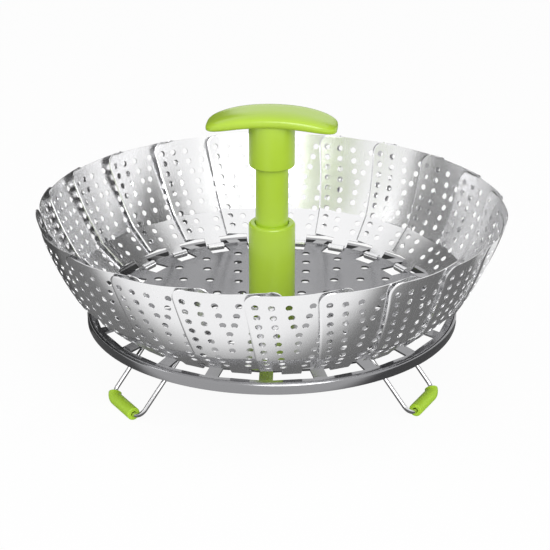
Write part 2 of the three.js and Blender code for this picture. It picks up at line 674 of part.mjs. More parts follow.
// A rivet through the tray and the bracket's web, with a low round head on the tray.
function legRivet() {
  const headFoot = TRAY_TOP + SEAT_GAP;
  const tailTop = WEB_UNDERSIDE - SEAT_GAP;
  const tailBottom = tailTop - RIVET_TAIL_HEIGHT;
  const profile = [
    [0, tailBottom],
    [(RIVET_TAIL_RADIUS + RIVET_RADIUS) / 2, tailBottom],
    [RIVET_TAIL_RADIUS, tailTop],
    [RIVET_RADIUS, tailTop],
    [RIVET_RADIUS, headFoot],
  ];
  for (let k = 0; k < RIVET_HEAD_STEPS; k += 1) {
    const angle = ((Math.PI / 2) * k) / RIVET_HEAD_STEPS;
    profile.push([RIVET_HEAD_RADIUS * Math.cos(angle), headFoot + RIVET_HEAD_HEIGHT * Math.sin(angle)]);
  }
  profile.push([0, headFoot + RIVET_HEAD_HEIGHT]);
  return turned(profile, RIVET_SIDES);
}

function buildLegs() {
  const wire = legWire();
  const bracket = legBracket();
  const rivet = legRivet();
  LEG_NAMES.forEach((name, k) => {
    const place = turnedGroup(LEG_ANGLES[k] + LEG_TURN);
    addPiece(`leg_wire_${name}`, wire.clone(), WIRE_STEEL, place);
    addPiece(`leg_sleeve_${name}`, legSleeve(SLEEVE_ENDS[k]), GREEN, place);
    addPiece(`leg_bracket_${name}`, bracket.clone(), STEEL, place);
    [-1, 1].forEach((side, n) => {
      const piece = addPiece(`leg_rivet_${name}_${n + 1}`, rivet.clone(), STEEL, place);
      piece.position.set(side * RIVET_HALF_SPACING, LEG_PIVOT_RADIUS, 0);
    });
  });
}

// The socket stands on the tray. Its top lip keeps the tube's flange and the friction ring inside.
function buildSocket() {
  const lipBore = fitOutside(TUBE_RADIUS, RUNNING_GAP);
  const profile = [
    [SOCKET_BORE, SOCKET_FOOT],
    [SOCKET_RADIUS, SOCKET_FOOT],
    [SOCKET_RADIUS, SOCKET_TOP - SOCKET_EDGE],
    [SOCKET_RADIUS - SOCKET_EDGE, SOCKET_TOP],
    [lipBore, SOCKET_TOP],
    [lipBore, LIP_BOTTOM],
    [SOCKET_BORE, LIP_BOTTOM],
  ];
  addPiece("post_socket", turnedRing(profile, ROUND_SIDES), GREEN);
}

// The plug closes the foot of the socket, and the screw from below goes up into its boss.
function buildPlug() {
  const bore = fitOutside(SCREW_RADIUS, SEAT_GAP);
  const outside = fitInside(SOCKET_BORE, SEAT_GAP);
  const boss = fitInside(TUBE_RADIUS - TUBE_WALL, BOSS_GAP);
  const bossTop = SOCKET_FOOT + BOSS_HEIGHT;
  const profile = [
    [bore, SOCKET_FOOT],
    [outside, SOCKET_FOOT],
    [outside, PLUG_TOP],
    [boss, PLUG_TOP],
    [boss, bossTop],
    [bore, bossTop],
  ];
  addPiece("socket_plug", turnedRing(profile, ROUND_SIDES), PALE_PLASTIC);
}

// The screw and its washer hold the post to the tray from below.
function buildScrew() {
  const washerTop = TRAY_UNDERSIDE - SEAT_GAP;
  const washerBottom = washerTop - WASHER_HEIGHT;
  const headTop = washerBottom - SEAT_GAP;
  const headBottom = headTop - SCREW_HEAD_HEIGHT;
  const screwTop = TRAY_TOP + SCREW_REACH;
  const screw = [
    [0, headBottom],
    [(SCREW_HEAD_RADIUS + SCREW_RADIUS) / 2, headBottom],
    [SCREW_HEAD_RADIUS, (headBottom + headTop) / 2],
    [SCREW_HEAD_RADIUS, headTop],
    [SCREW_RADIUS, headTop],
    [SCREW_RADIUS, screwTop],
    [0, screwTop],
  ];
  const slotHalf = SCREW_SLOT_WIDTH / 2;
  const slotReach = SCREW_HEAD_RADIUS + CUT_MARGIN;
  const slotTop = headBottom + SCREW_SLOT_DEPTH;
  const slot = block([-slotReach, -slotHalf, headBottom - CUT_MARGIN], [slotReach, slotHalf, slotTop]);
  addPiece("socket_screw", joinAndCut([turned(screw, SMALL_SIDES)], [slot]), STEEL);
  const bore = SCREW_RADIUS + RUNNING_GAP;
  const washer = [
    [bore, washerBottom],
    [WASHER_RADIUS, washerBottom],
    [WASHER_RADIUS, washerTop],
    [bore, washerTop],
  ];
  addPiece("screw_washer", turnedRing(washer, SMALL_SIDES), STEEL);
}

// The tube slides in the socket. Its flange carries the friction ring that holds it at any height.
function buildTube() {
  const inside = TUBE_RADIUS - TUBE_WALL;
  const flange = fitInside(SOCKET_BORE, RUNNING_GAP);
  const flangeTop = FLANGE_BOTTOM + FLANGE_HEIGHT;
  const tubeTop = GRIP_BOTTOM + TUBE_SEAT_DEPTH;
  const tube = [
    [inside, FLANGE_BOTTOM],
    [flange, FLANGE_BOTTOM],
    [flange, flangeTop],
    [TUBE_RADIUS, flangeTop],
    [TUBE_RADIUS, tubeTop],
    [inside, tubeTop],
  ];
  addPiece("post_tube", turnedRing(tube, ROUND_SIDES), GREEN);
  const ringBore = fitOutside(TUBE_RADIUS, SEAT_GAP);
  const ringTop = RING_BOTTOM + RING_HEIGHT;
  const ring = [
    [ringBore, RING_BOTTOM],
    [flange, RING_BOTTOM],
    [flange, ringTop],
    [ringBore, ringTop],
  ];
  addPiece("friction_ring", turnedRing(ring, ROUND_SIDES), DARK_RUBBER);
}

// The paddle of the T: a flat oval with a crowned top, bent down towards its ends.
function paddle() {
  const profile = [];
  for (let k = 0; k <= PADDLE_RINGS; k += 1) {
    const angle = Math.PI * (k / PADDLE_RINGS - 0.5);
    const out = k % PADDLE_RINGS === 0 ? 0 : Math.cos(angle) ** PADDLE_FLATNESS;
    const rise = Math.sign(angle) * Math.abs(Math.sin(angle)) ** PADDLE_FLATNESS;
    const crown = angle > 0 ? PADDLE_CROWN * (1 - out ** 2) : 0;
    profile.push([out, PADDLE_HALF_EDGE * (rise + 1) + crown]);
  }
  const geometry = turned(profile, PADDLE_SIDES);
  const place = geometry.getAttribute("position");
  for (let k = 0; k < place.count; k += 1) {
    const angle = Math.atan2(place.getY(k), place.getX(k));
    const lengthwise = Math.abs(Math.cos(angle)) ** PADDLE_FULLNESS;
    const crosswise = Math.abs(Math.sin(angle)) ** PADDLE_FULLNESS;
    const reach = (lengthwise + crosswise) ** (-1 / PADDLE_FULLNESS);
    const along = place.getX(k) * reach;
    const across = place.getY(k) * reach;
    const height = PADDLE_BOTTOM + place.getZ(k) - PADDLE_DROOP * along ** 2;
    place.setXYZ(k, along * PADDLE_HALF_LENGTH, across * PADDLE_HALF_WIDTH, height);
  }
  return geometry;
}

// The grip: the paddle on a sleeve whose blind bore takes the tube.
function buildGrip() {
  const bore = fitOutside(TUBE_RADIUS, SEAT_GAP);
  const boreTop = GRIP_BOTTOM + TUBE_SEAT_DEPTH + SEAT_GAP;
  const sleeveTop = PADDLE_BOTTOM + PADDLE_LAP;
  const sleeve = [
    [0, boreTop],
    [bore, boreTop],
    [bore, GRIP_BOTTOM],
    [GRIP_SLEEVE_RADIUS - GRIP_SLEEVE_EDGE, GRIP_BOTTOM],
    [GRIP_SLEEVE_RADIUS, GRIP_BOTTOM + GRIP_SLEEVE_EDGE],
    [GRIP_SLEEVE_RADIUS, sleeveTop],
    [0, sleeveTop],
  ];
  const grip = addPiece("handle_grip", joinAndCut([turned(sleeve, ROUND_SIDES), paddle()]), GREEN);
  grip.rotation.z = degToRad(GRIP_TURN);
}

buildTray();
buildPetals();
buildLegs();
buildSocket();
buildPlug();
buildScrew();
buildTube();
buildGrip();

export default basket;
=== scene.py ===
"""Folding steamer basket: the looks of its pieces, the stage and the camera, around the CAD frame."""

import json
import math

import bmesh
import bpy
from mathutils import Matrix, Vector

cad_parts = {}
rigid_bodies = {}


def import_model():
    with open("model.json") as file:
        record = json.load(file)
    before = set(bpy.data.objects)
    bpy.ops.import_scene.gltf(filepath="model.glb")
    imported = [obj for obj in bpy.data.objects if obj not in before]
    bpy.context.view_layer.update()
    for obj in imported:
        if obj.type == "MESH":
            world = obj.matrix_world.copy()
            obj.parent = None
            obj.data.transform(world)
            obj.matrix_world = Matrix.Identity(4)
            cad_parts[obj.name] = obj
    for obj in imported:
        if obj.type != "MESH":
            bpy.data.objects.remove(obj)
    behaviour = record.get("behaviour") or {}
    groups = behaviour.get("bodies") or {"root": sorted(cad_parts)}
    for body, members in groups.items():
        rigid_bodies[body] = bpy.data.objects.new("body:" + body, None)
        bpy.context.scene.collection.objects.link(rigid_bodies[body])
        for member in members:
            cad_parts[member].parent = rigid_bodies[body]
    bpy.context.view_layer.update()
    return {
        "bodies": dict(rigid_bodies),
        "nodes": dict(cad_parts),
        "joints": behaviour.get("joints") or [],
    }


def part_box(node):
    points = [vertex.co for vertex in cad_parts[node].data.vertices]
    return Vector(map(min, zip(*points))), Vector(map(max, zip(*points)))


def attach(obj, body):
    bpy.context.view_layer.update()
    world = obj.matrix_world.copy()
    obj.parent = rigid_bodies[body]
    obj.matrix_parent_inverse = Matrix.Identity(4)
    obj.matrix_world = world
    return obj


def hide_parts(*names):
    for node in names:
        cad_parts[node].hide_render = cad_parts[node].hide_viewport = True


bl_info = {
    "name": "Folding steamer basket",
    "version": (1, 0, 0),
    "blender": (4, 5, 0),
    "location": "3D View > Sidebar > Steamer",
    "description": "Dresses a folding steamer basket of perforated petals, with a T-grip and wire legs",
    "category": "Object",
}

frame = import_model()
MM = 0.001
UP = Vector((0, 0, 1))
JOINTS = {joint["child"]: joint for joint in frame["joints"]}
PETALS = sorted(body for body in frame["bodies"] if body.startswith("petal_"))
LEGS = ("left", "right", "rear")
PUSHED_SIDES = {"left": 1, "right": -1, "rear": 1}  # the side of each foot with the covered bend
RIVETS = [f"leg_rivet_{leg}_{side}" for leg in LEGS for side in (1, 2)]
FLAT_UV = "flat"  # the UV map that holds a petal's flat layout
FLAT_SCALE = 10  # UV units in a metre
FLAT_CORNER = (0.5, 0.1)  # where the middle of the hinge lies in that map
BEND_RADIUS = "bend_radius"  # the attribute that holds how wide a wire's corner is bent
RIVET_INPUTS = ("Pivot Radius", "Half Spacing", "Rivet Turn")  # inputs of the trees that place rivets
SHARP_ANGLE = math.radians(32)
ON_AXIS = 1e-9  # a radius below this lies on the axis
MERGE_DISTANCE = 1e-6  # corners nearer than this become one
CUT_SHEETS = 10  # depth of the tray's cutting tools, in thicknesses of its sheet
WHITE = (1, 1, 1, 1)

# Fineness of the meshes
SHOWN_SIDES = 96
SLEEVE_SIDES = 48
RIVET_SIDES = 32
RIVET_DOME_STEPS = 8
WIRE_SIDES = 20
WIRE_BEND_STEPS = 12
STEAM_HOLE_SIDES = 18
PADDLE_RINGS = 28
SIDE_COLUMNS = 7  # on each side of a petal's tab
EDGE_COLUMNS = 4  # of these, the finer ones along the petal's edge
EDGE_STRIPS = 3  # width of both sides' finer columns together at the top, in turned strips
TAB_COLUMNS = 4
CURL_ROWS = 18
TAB_ROWS = 5
LOW_ROWS = 8
CREASE_ROWS = 6
WALL_ROWS = 20
CORNER_ROWS = 8

# Shares in the finishes
NOISE_MIDDLE = 0.5  # the value that noise varies about
DULL_SHARE = 0.9  # of a steel's colour, at the dull end of its haze
DARK_SHARE = 0.93  # of a moulded colour, at the dark end of its mottle
LIGHT_SHARE = 1.05  # of the same colour, at the light end
SKIN_GLOSS = 0.12  # how much a moulded skin varies the roughness
MOTTLE_GLOSS = 0.1  # how much the mottle varies it

# The stage, in metres
KEY_SIZE = 1.2
KEY_PLACE = Vector((0.3, -1.3, 0.85))
LEFT_SIZE = 0.7
LEFT_PLACE = Vector((-1.3, -0.1, 0.9))
FLOOR_REACH = 4.0
FLOOR_PAPER = (0.9, 0.9, 0.9, 1)
CARD_RISE = MM  # of the cards that lie on the floor
SENSOR_WIDTH = 36  # in millimetres
CLIP_START = 0.05


def joint_spread(body):
    """How far a body's hinge stands from the post, and its height."""
    x, y, z = JOINTS[body]["pos_m"]
    return math.hypot(x, y), z


def length(name, text, millimetres):
    """A length that a user can set, with its default in millimetres."""
    default = millimetres * MM
    settings = {"unit": "LENGTH", "precision": 5}
    return bpy.props.FloatProperty(name=name, description=text, default=default, **settings)


def angle(name, text, degrees):
    """An angle that a user can set, with its default in degrees."""
    default = math.radians(degrees)
    return bpy.props.FloatProperty(name=name, description=text, default=default, subtype="ANGLE")


def share(name, text, value):
    """A plain number from 0 to 1 that a user can set."""
    settings = {"min": 0, "max": 1, "subtype": "FACTOR"}
    return bpy.props.FloatProperty(name=name, description=text, default=value, **settings)


def number(name, text, value):
    """A plain number that a user can set."""
    return bpy.props.FloatProperty(name=name, description=text, default=value)


def count(name, text, value):
    """A count that a user can set."""
    return bpy.props.IntProperty(name=name, description=text, default=value, min=1)


def colour(name, text, red, green, blue):
    """A colour that a user can set, as linear red, green and blue."""
    default = (red, green, blue)
    settings = {"min": 0, "max": 1, "subtype": "COLOR"}
    return bpy.props.FloatVectorProperty(name=name, description=text, default=default, **settings)


class PetalSizes(bpy.types.PropertyGroup):
    """Sizes of a petal's sheet."""

    sheet: length("Sheet", "Thickness of the sheet", 0.4)
    low_length: length("Low length", "From the hinge up to the crease", 22.5)
    wall_length: length("Wall length", "From the crease up to the top edge", 42.5)
    low_angle: angle("Low angle", "Lean of the part below the crease, from level", 42)
    wall_angle: angle("Wall angle", "Lean of the wall just above the crease, from level", 58.5)
    top_angle: angle("Top angle", "Lean of the wall at the top edge, from level", 74)
    crease: length("Crease", "Half of the length over which the crease is rounded", 1.6)
    low_width: length("Low width", "Width at the foot", 31)
    top_width: length("Top width", "Width at the top edge", 51)
    corner: length("Corner", "Radius of the two top corners", 6.5)
    low_bow: length("Low bow", "Radius of the cross section at the foot", 110)
    top_bow: length("Top bow", "Radius of the cross section at the top edge", 80)
    low_roll: angle("Low roll", "How far one edge stands out at the foot", 3.5)
    top_roll: angle("Top roll", "How far one edge stands out at the top", 4.2)
    edge_reach: length("Edge reach", "Width of the turned strip along each side edge", 0.9)
    edge_turn: length("Edge turn", "How far the very edge is turned towards the next petal", 0.34)
    tab_width: length("Tab width", "Width of the tab that hangs on the hinge bar", 9)
    tab_length: length("Tab length", "From the hinge up to the foot of the petal", 6.5)
    curl_radius: length("Curl radius", "Inside radius of the curl round the hinge bar", 1.6)
    curl_sweep: angle("Curl sweep", "How far the curl goes round", 250)


class HoleSizes(bpy.types.PropertyGroup):
    """Sizes of the perforations in a petal."""

    diameter: length("Diameter", "Diameter of a hole", 3.2)
    first_row: length("First row", "From the top edge down to the first row", 6.6)
    row_pitch: length("Row pitch", "From row to row", 5.8)
    rows: count("Rows", "Rows of holes in the outer columns", 9)
    edge_gap: length("Edge gap", "From the petal's edge in to the first column", 4.4)
    column_gap: length("Column gap", "From the first column in to the second", 7.1)
    inner_half: length("Inner half", "From the middle to an inner column, in the first row", 5.3)
    inner_step: length("Inner step", "How much nearer to the middle each next row of it is", 1.35)
    inner_rows: count("Inner rows", "Rows of holes in each inner column and in the middle one below", 3)
    sides: count("Sides", "Sides of each hole", 20)


class TraySizes(bpy.types.PropertyGroup):
    """Sizes of the tray."""

    radius: length("Radius", "Outside radius of the rim", 93.8)
    height: length("Height", "Top of the flange above the floor", 40.4)
    sheet: length("Sheet", "Thickness of the sheet", 1)
    rise: length("Rise", "How far the middle stands above the flange", 1.2)
    rim_drop: length("Rim drop", "Height of the turned-down rim", 5.5)
    rim_round: length("Rim round", "Radius of the rim's top edge", 1.6)
    flange: length("Flange", "Width of the flat ring inside the rim", 4.4)
    hinge_bar: length("Hinge bar", "Width of the bars that the petals hang on", 2.4)
    spoke: length("Spoke", "Width of the metal between two windows", 6.4)
    slot_length: length("Slot length", "Radial length of the slot inside a hinge bar", 8.6)
    slot_gap: length("Slot gap", "Room beside the petal's tab in its slot", 0.8)
    steam_diameter: length("Steam hole", "Diameter of a steam hole", 4.4)
    steam_spacing: length("Steam spacing", "From hole to hole along a ring", 19)
    ring_spacing: length("Ring spacing", "From ring to ring", 12)
    steam_margin: length("Steam margin", "Metal left beside the slots and the socket", 3)
    rivet_room: length("Rivet room", "No steam hole has its middle nearer to a rivet than this", 5.2)
    rim_edge: length("Rim edge", "Rounding of the rim's lower edges", 0.2)
    step_round: length("Step round", "Radius of the bends between the middle and the flange", 6)
    rim_sides: count("Rim sides", "Sides of the rim", 264)


class LegSizes(bpy.types.PropertyGroup):
    """Sizes of the wire legs, their sleeves and their rivets."""

    turn: angle("Turn", "How far the legs are turned about the post", 1.6)
    wire: length("Wire", "Diameter of the wire", 2.2)
    pivot_half: length("Pivot half", "From the middle of a leg to its wire at the pivot", 15)
    pin_half: length("Pin half", "From the middle of a leg to the inner end of its pivot pins", 7.6)
    spread: length("Spread", "How far the foot stands outside the pivot", 27)
    pivot_bend: length("Pivot bend", "Radius of the wire's middle at the pivots", 4.5)
    foot_bend: length("Foot bend", "Radius of the wire's middle beside the foot", 5.5)
    foot_half: length("Foot half", "From the middle of a leg to its wire beside the foot", 15)
    sleeve_radius: length("Sleeve radius", "Outside radius of the soft sleeve on the foot", 3.284)
    sleeve_bend: angle("Sleeve bend", "How far the sleeve is pushed round the bend at one side", 53)
    sleeve_gap: length("Sleeve gap", "From the sleeve's plain end to the wire's bend", 0.3)
    sleeve_bore: length("Sleeve bore", "Inside radius of the sleeve", 1.3)
    sleeve_round: length("Sleeve round", "Rounding of the sleeve's ends", 0.5)
    rivet_half: length("Rivet half", "Half of the distance between the two rivets of a bracket", 4.2)
    rivet_radius: length("Rivet radius", "Radius of a rivet's head", 3)
    rivet_rise: length("Rivet rise", "Height of a rivet's head", 1.4)
    rivet_shank: length("Rivet shank", "Radius of a rivet's shank", 1.5)
    rivet_tail: length("Rivet tail", "Radius of a rivet's closed end", 2.6)
    rivet_taper: share("Rivet taper", "Width of a closed end's foot, as a share of its greatest", 0.8)
    rivet_seat: length("Rivet seat", "From the bracket's top down to the rivet's closed end", 1.5)


class PostSizes(bpy.types.PropertyGroup):
    """Sizes of the post and of the T-grip."""

    tube_radius: length("Tube radius", "Outside radius of the sliding tube", 8.2)
    tube_wall: length("Tube wall", "Wall of the sliding tube", 2.8)
    tube_flange: length("Tube flange", "Height of the flange at the tube's foot", 2)
    socket_wall: length("Socket wall", "Wall of the socket", 1.8)
    socket_lip: length("Socket lip", "Height of the lip that keeps the tube in the socket", 3)
    socket_edge: length("Socket edge", "Rounding of the socket's top edge", 1.3)
    lip_edge: length("Lip edge", "Rounding of the lip's inner edge", 0.5)
    slide_gap: length("Slide gap", "Room between the tube and the lip", 0.3)
    seat_gap: length("Seat gap", "Room between the tube and the grip", 0.15)
    grip_radius: length("Grip radius", "Outside radius of the grip's sleeve", 11.4)
    grip_edge: length("Grip edge", "Rounding of the sleeve's lower edge", 1.1)
    seat_depth: length("Seat depth", "How far the tube goes up into the grip", 19.5)
    grip_turn: angle("Grip turn", "How far the grip is turned about the post", -4.5)
    paddle_length: length("Paddle length", "Half of the paddle's length", 32.2)
    paddle_width: length("Paddle width", "Half of the paddle's width", 13.7)
    paddle_edge: length("Paddle edge", "Half of the paddle's thickness at its edge", 3.6)
    paddle_crown: length("Paddle crown", "Extra height in the middle of the paddle's top", 0.5)
    paddle_droop: length("Paddle droop", "How far the paddle's ends hang below its middle", 4.9)
    paddle_lap: length("Paddle lap", "How far the sleeve runs up into the paddle", 3)
    paddle_flatness: number("Paddle flatness", "Power that makes the paddle's section a flat oval", 0.66)
    paddle_fullness: number("Paddle fullness", "Power that makes its outline blunter than an oval", 4.1)


class Finishes(bpy.types.PropertyGroup):
    """Colours and gloss of the finishes."""

    petal_steel: colour("Petal steel", "Satin sheet of the petals", 0.95, 0.95, 0.96)
    petal_gloss: share("Petal roughness", "Roughness of the petals", 0.26)
    # Painted shade: the tray's steel is far darker than the petals', for the dark ring and for what the
    # petals reflect of it
    tray_steel: colour("Tray steel", "Turned sheet of the tray", 0.32, 0.32, 0.33)
    tray_gloss: share("Tray roughness", "Roughness of the tray", 0.16)
    wire_steel: colour("Wire steel", "Polished wire of the legs", 0.76, 0.76, 0.77)
    wire_gloss: share("Wire roughness", "Roughness of the wire", 0.1)
    green: colour("Green", "Moulded yellow-green plastic", 0.42, 0.62, 0.035)
    green_gloss: share("Green roughness", "Roughness of the green plastic", 0.22)
    sleeve_green: colour("Sleeve green", "Soft yellow-green sleeves on the feet", 0.4, 0.64, 0.03)
    sleeve_gloss: share("Sleeve roughness", "Roughness of the sleeves", 0.5)
    dark: colour("Dark rubber", "Ring inside the socket", 0.03, 0.032, 0.032)
    pale: colour("Pale plastic", "Plug inside the socket", 0.68, 0.7, 0.66)


class StageSettings(bpy.types.PropertyGroup):
    """The camera's place, the level of the light, the floor and the cards."""

    elevation: angle("Elevation", "Angle from which the camera looks down", 22.81)
    distance: length("Distance", "From the camera to the point that it looks at", 800)
    aim: length("Aim", "Height of that point on the post's axis", 53.6)
    lens: number("Lens", "Focal length for a sensor of 36 mm", 103.14)
    shift_right: number("Shift right", "Sideways shift of the picture, in picture widths", 0.0056)
    shift_up: number("Shift up", "Upward shift of the picture, in picture widths", 0.0051)
    fill: number("Fill", "Strength of the world's light", 0.6)
    key: number("Key", "Watts of the main soft light", 15)
    rim: number("Rim", "Watts of the soft light from the left", 3)
    floor_glow: share("Floor glow", "Share of the floor that is white whatever the light", 0.94)
    # Painted shade: the next four settings darken the floor near the basket only where the metal sees it
    floor_painted_shade: share("Floor dark", "How bright the floor round the basket looks in the metal", 0.13)
    floor_near: length("Floor near", "How far in front of the post that floor begins to brighten", 88)
    floor_far: length("Floor far", "How far in front of the post the floor is white", 132)
    floor_skew: number("Floor skew", "How much further back the floor brightens at the left", 0.2)
    # The cards are glowing sheets of an even shade that only the metal sees: painted reflections, a painted
    # shadow and painted light
    card_dark: share("Dark card", "How bright the dark cards round the basket look in the metal", 0.06)
    card_light: share("Light card", "How bright the light card on the floor looks in the metal", 0.95)
    card_side: length("Card side", "From the post out to the cards at the sides", 600)
    card_back: length("Card back", "From the post back to the cards behind the basket", 1000)
    card_front: length("Card front", "How far the cards at the sides reach to the front", 150)
    card_gap_left: length("Card gap left", "Left end of the gap between the rear cards", -180)
    card_gap_right: length("Card gap right", "Right end of that gap", 420)
    card_low: length("Card low", "Height of the lower edges of the cards", 100)
    card_right_low: length("Right card low", "Height of the right card's lower edge", 280)
    card_high: length("Card high", "Height of the upper edges of the cards", 800)
    card_floor_in: length("Dark floor card", "From the post out to the dark card on the floor", 40)
    card_light_right: length("Light card right", "From the post right to the light card", 112)
    card_light_back: length("Light card back", "From the post back to the light card", 62)
    card_floor_out: length("Floor card outside", "From the post out to the floor cards' far edges", 500)


class Value:
    """A number that a node tree works out. Python's operators on it add Math nodes."""

    def __init__(self, maker, socket):
        self.maker = maker
        self.socket = socket

    def math(self, operation, first, second=0.0):
        node = self.maker.shade("Math", {0: first, 1: second}, operation=operation)
        return self.maker.value(node)

    def __add__(self, other):
        return self.math("ADD", self, other)

    def __sub__(self, other):
        return self.math("SUBTRACT", self, other)

    def __rsub__(self, other):
        return self.math("SUBTRACT", other, self)

    def __mul__(self, other):
        return self.math("MULTIPLY", self, other)

    def __gt__(self, other):
        return self.math("GREATER_THAN", self, other)


class Maker:
    """Adds nodes to one tree of shader or geometry nodes."""

    def __init__(self, tree):
        self.tree = tree

    def add(self, kind, inputs=None, **settings):
        """Adds a node, gives it its settings and then the values or links of its sockets."""
        node = self.tree.nodes.new(kind)
        for name, setting in settings.items():
            setattr(node, name, setting)
        for key, given in (inputs or {}).items():
            for item in given if isinstance(given, list) else [given]:
                self.feed(node.inputs[key], item)
        return node

    def geo(self, kind, inputs=None, **settings):
        """Adds a geometry node."""
        return self.add("GeometryNode" + kind, inputs, **settings)

    def shade(self, kind, inputs=None, **settings):
        """Adds a shader node. Geometry trees use those for vectors and numbers too."""
        return self.add("ShaderNode" + kind, inputs, **settings)

    def feed(self, socket, item):
        if isinstance(item, Value):
            item = item.socket
        if isinstance(item, bpy.types.Node):
            item = item.outputs[0]
        if isinstance(item, bpy.types.NodeSocket):
            self.tree.links.new(item, socket)
        else:
            socket.default_value = item

    def value(self, node, key=0):
        return Value(self, node.outputs[key])


class Tree(Maker):
    """A geometry node tree with named inputs."""

    KINDS = {
        "Geometry": "NodeSocketGeometry",
        "Material": "NodeSocketMaterial",
        "Count": "NodeSocketInt",
        "Length": "NodeSocketFloat",
        "Place": "NodeSocketVector",
    }

    def __init__(self, name, inputs):
        super().__init__(bpy.data.node_groups.new(name, "GeometryNodeTree"))
        face = self.tree.interface
        self.names = {}
        for label, kind in inputs.items():
            socket = face.new_socket(label, in_out="INPUT", socket_type=self.KINDS[kind])
            self.names[label] = socket.identifier
        face.new_socket("Geometry", in_out="OUTPUT", socket_type=self.KINDS["Geometry"])
        self.entry = self.tree.nodes.new("NodeGroupInput")

    def given(self, label):
        return Value(self, self.entry.outputs[label])

    def end(self, geometry):
        self.add("NodeGroupOutput", {0: geometry})

    def end_with_material(self, geometry):
        """Shades the result smooth but for sharp edges, realizes it and gives it its material."""
        smooth = self.geo("SetShadeSmooth", {"Geometry": geometry})
        bend = self.value(self.geo("InputMeshEdgeAngle"))
        sharp = self.geo(
            "SetShadeSmooth",
            {"Geometry": smooth, "Selection": bend > SHARP_ANGLE, "Shade Smooth": False},
            domain="EDGE",
        )
        real = self.geo("RealizeInstances", {"Geometry": sharp})
        shaded = {0: real, "Material": self.given("Material")}
        self.end(self.geo("SetMaterial", shaded))

    def run(self, name, mesh, values):
        """Runs the tree on a mesh and returns the result as a plain mesh."""
        source = bpy.data.objects.new(name, mesh)
        bpy.context.scene.collection.objects.link(source)
        modifier = source.modifiers.new(name, "NODES")
        modifier.node_group = self.tree
        for label, item in values.items():
            modifier[self.names[label]] = item
        bpy.context.view_layer.update()
        evaluated = source.evaluated_get(bpy.context.evaluated_depsgraph_get())
        result = bpy.data.meshes.new_from_object(evaluated)
        bpy.data.objects.remove(source)
        if not result.polygons:
            raise RuntimeError(f"the node tree {self.tree.name} made no faces for {name}")
        result.name = name
        return result


def lerp(low, high, part):
    """The value at a share of the way from low to high."""
    return low + (high - low) * part


def ease(part):
    """A share from 0 to 1, slow at both ends."""
    part = min(max(part, 0.0), 1.0)
    return part * part * (3 - 2 * part)


def steps(low, high, parts):
    """The values from low up to, but without, high."""
    return [lerp(low, high, k / parts) for k in range(parts)]


def to_mesh(name, form):
    """Turns a bmesh into a mesh, shaded smooth but for its sharp edges."""
    for face in form.faces:
        face.smooth = True
    for edge in form.edges:
        edge.smooth = edge.calc_face_angle(0.0) < SHARP_ANGLE
    mesh = bpy.data.meshes.new(name)
    form.to_mesh(mesh)
    form.free()
    return mesh


def rounded(corners, steps_each=6):
    """A closed outline of (radius, height, rounding) corners, with each corner rounded."""
    points = []
    for k, (x, z, radius) in enumerate(corners):
        here = Vector((x, z))
        if not radius:
            points.append(here)
            continue
        back = (Vector(corners[k - 1][:2]) - here).normalized()
        on = (Vector(corners[(k + 1) % len(corners)][:2]) - here).normalized()
        half = back.angle(on) / 2
        centre = here + (back + on).normalized() * radius / math.sin(half)
        first = here + back * radius / math.tan(half) - centre
        last = here + on * radius / math.tan(half) - centre
        sweep = first.angle(last)
        for n in range(steps_each + 1):
            part = n / steps_each
            spoke = first * math.sin((1 - part) * sweep) + last * math.sin(part * sweep)
            points.append(centre + spoke / math.sin(sweep))
    return points


def divided(outline, longest):
    """A closed outline with points put in, so that no run is longer than the longest allowed."""
    points = []
    for first, second in zip(outline, outline[1:] + outline[:1]):
        parts = max(1, math.ceil((second - first).length / longest))
        points += [first.lerp(second, k / parts) for k in range(parts)]
    return points


def lathe(outline, sides=SHOWN_SIDES):
    """Turns a closed outline of (radius, height) points about Z. Those on the axis become poles."""
    form = bmesh.new()
    rings = []
    for radius, height in outline:
        if radius < ON_AXIS:
            rings.append([form.verts.new((0, 0, height))] * sides)
            continue
        turns = [2 * math.pi * k / sides for k in range(sides)]
        places = [(radius * math.cos(turn), radius * math.sin(turn), height) for turn in turns]
        rings.append([form.verts.new(place) for place in places])
    for first, second in zip(rings, rings[1:] + rings[:1]):
        for k in range(sides):
            after = (k + 1) % sides
            corners = [first[k], first[after], second[after], second[k]]
            corners = list(dict.fromkeys(corners))
            if len(corners) > 2:
                form.faces.new(corners)
    bmesh.ops.recalc_face_normals(form, faces=form.faces)
    return form


def show(name, mesh, finish, body, slot, *nodes):
    """Links a finished mesh as a piece that rides on a body and stands for its CAD nodes."""
    if not mesh.materials:
        mesh.materials.append(finish)
    piece = bpy.data.objects.new(name, mesh)
    bpy.context.scene.collection.objects.link(piece)
    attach(piece, body)
    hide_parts(*nodes)


def dress(nodes, finish):
    """Gives CAD nodes that stay in view a finish."""
    for node in nodes:
        for slot in frame["nodes"][node].material_slots:
            slot.material = finish


def hinge_place(body, side=1):
    """The matrix of a hinged piece's own frame: X along its hinge, Y outwards, Z up."""
    joint = JOINTS[body]
    along = Vector(joint["axis"]) * side
    out = UP.cross(along)
    turn = Matrix((along, out, UP)).transposed().to_4x4()
    return Matrix.Translation(Vector(joint["pos_m"])) @ turn


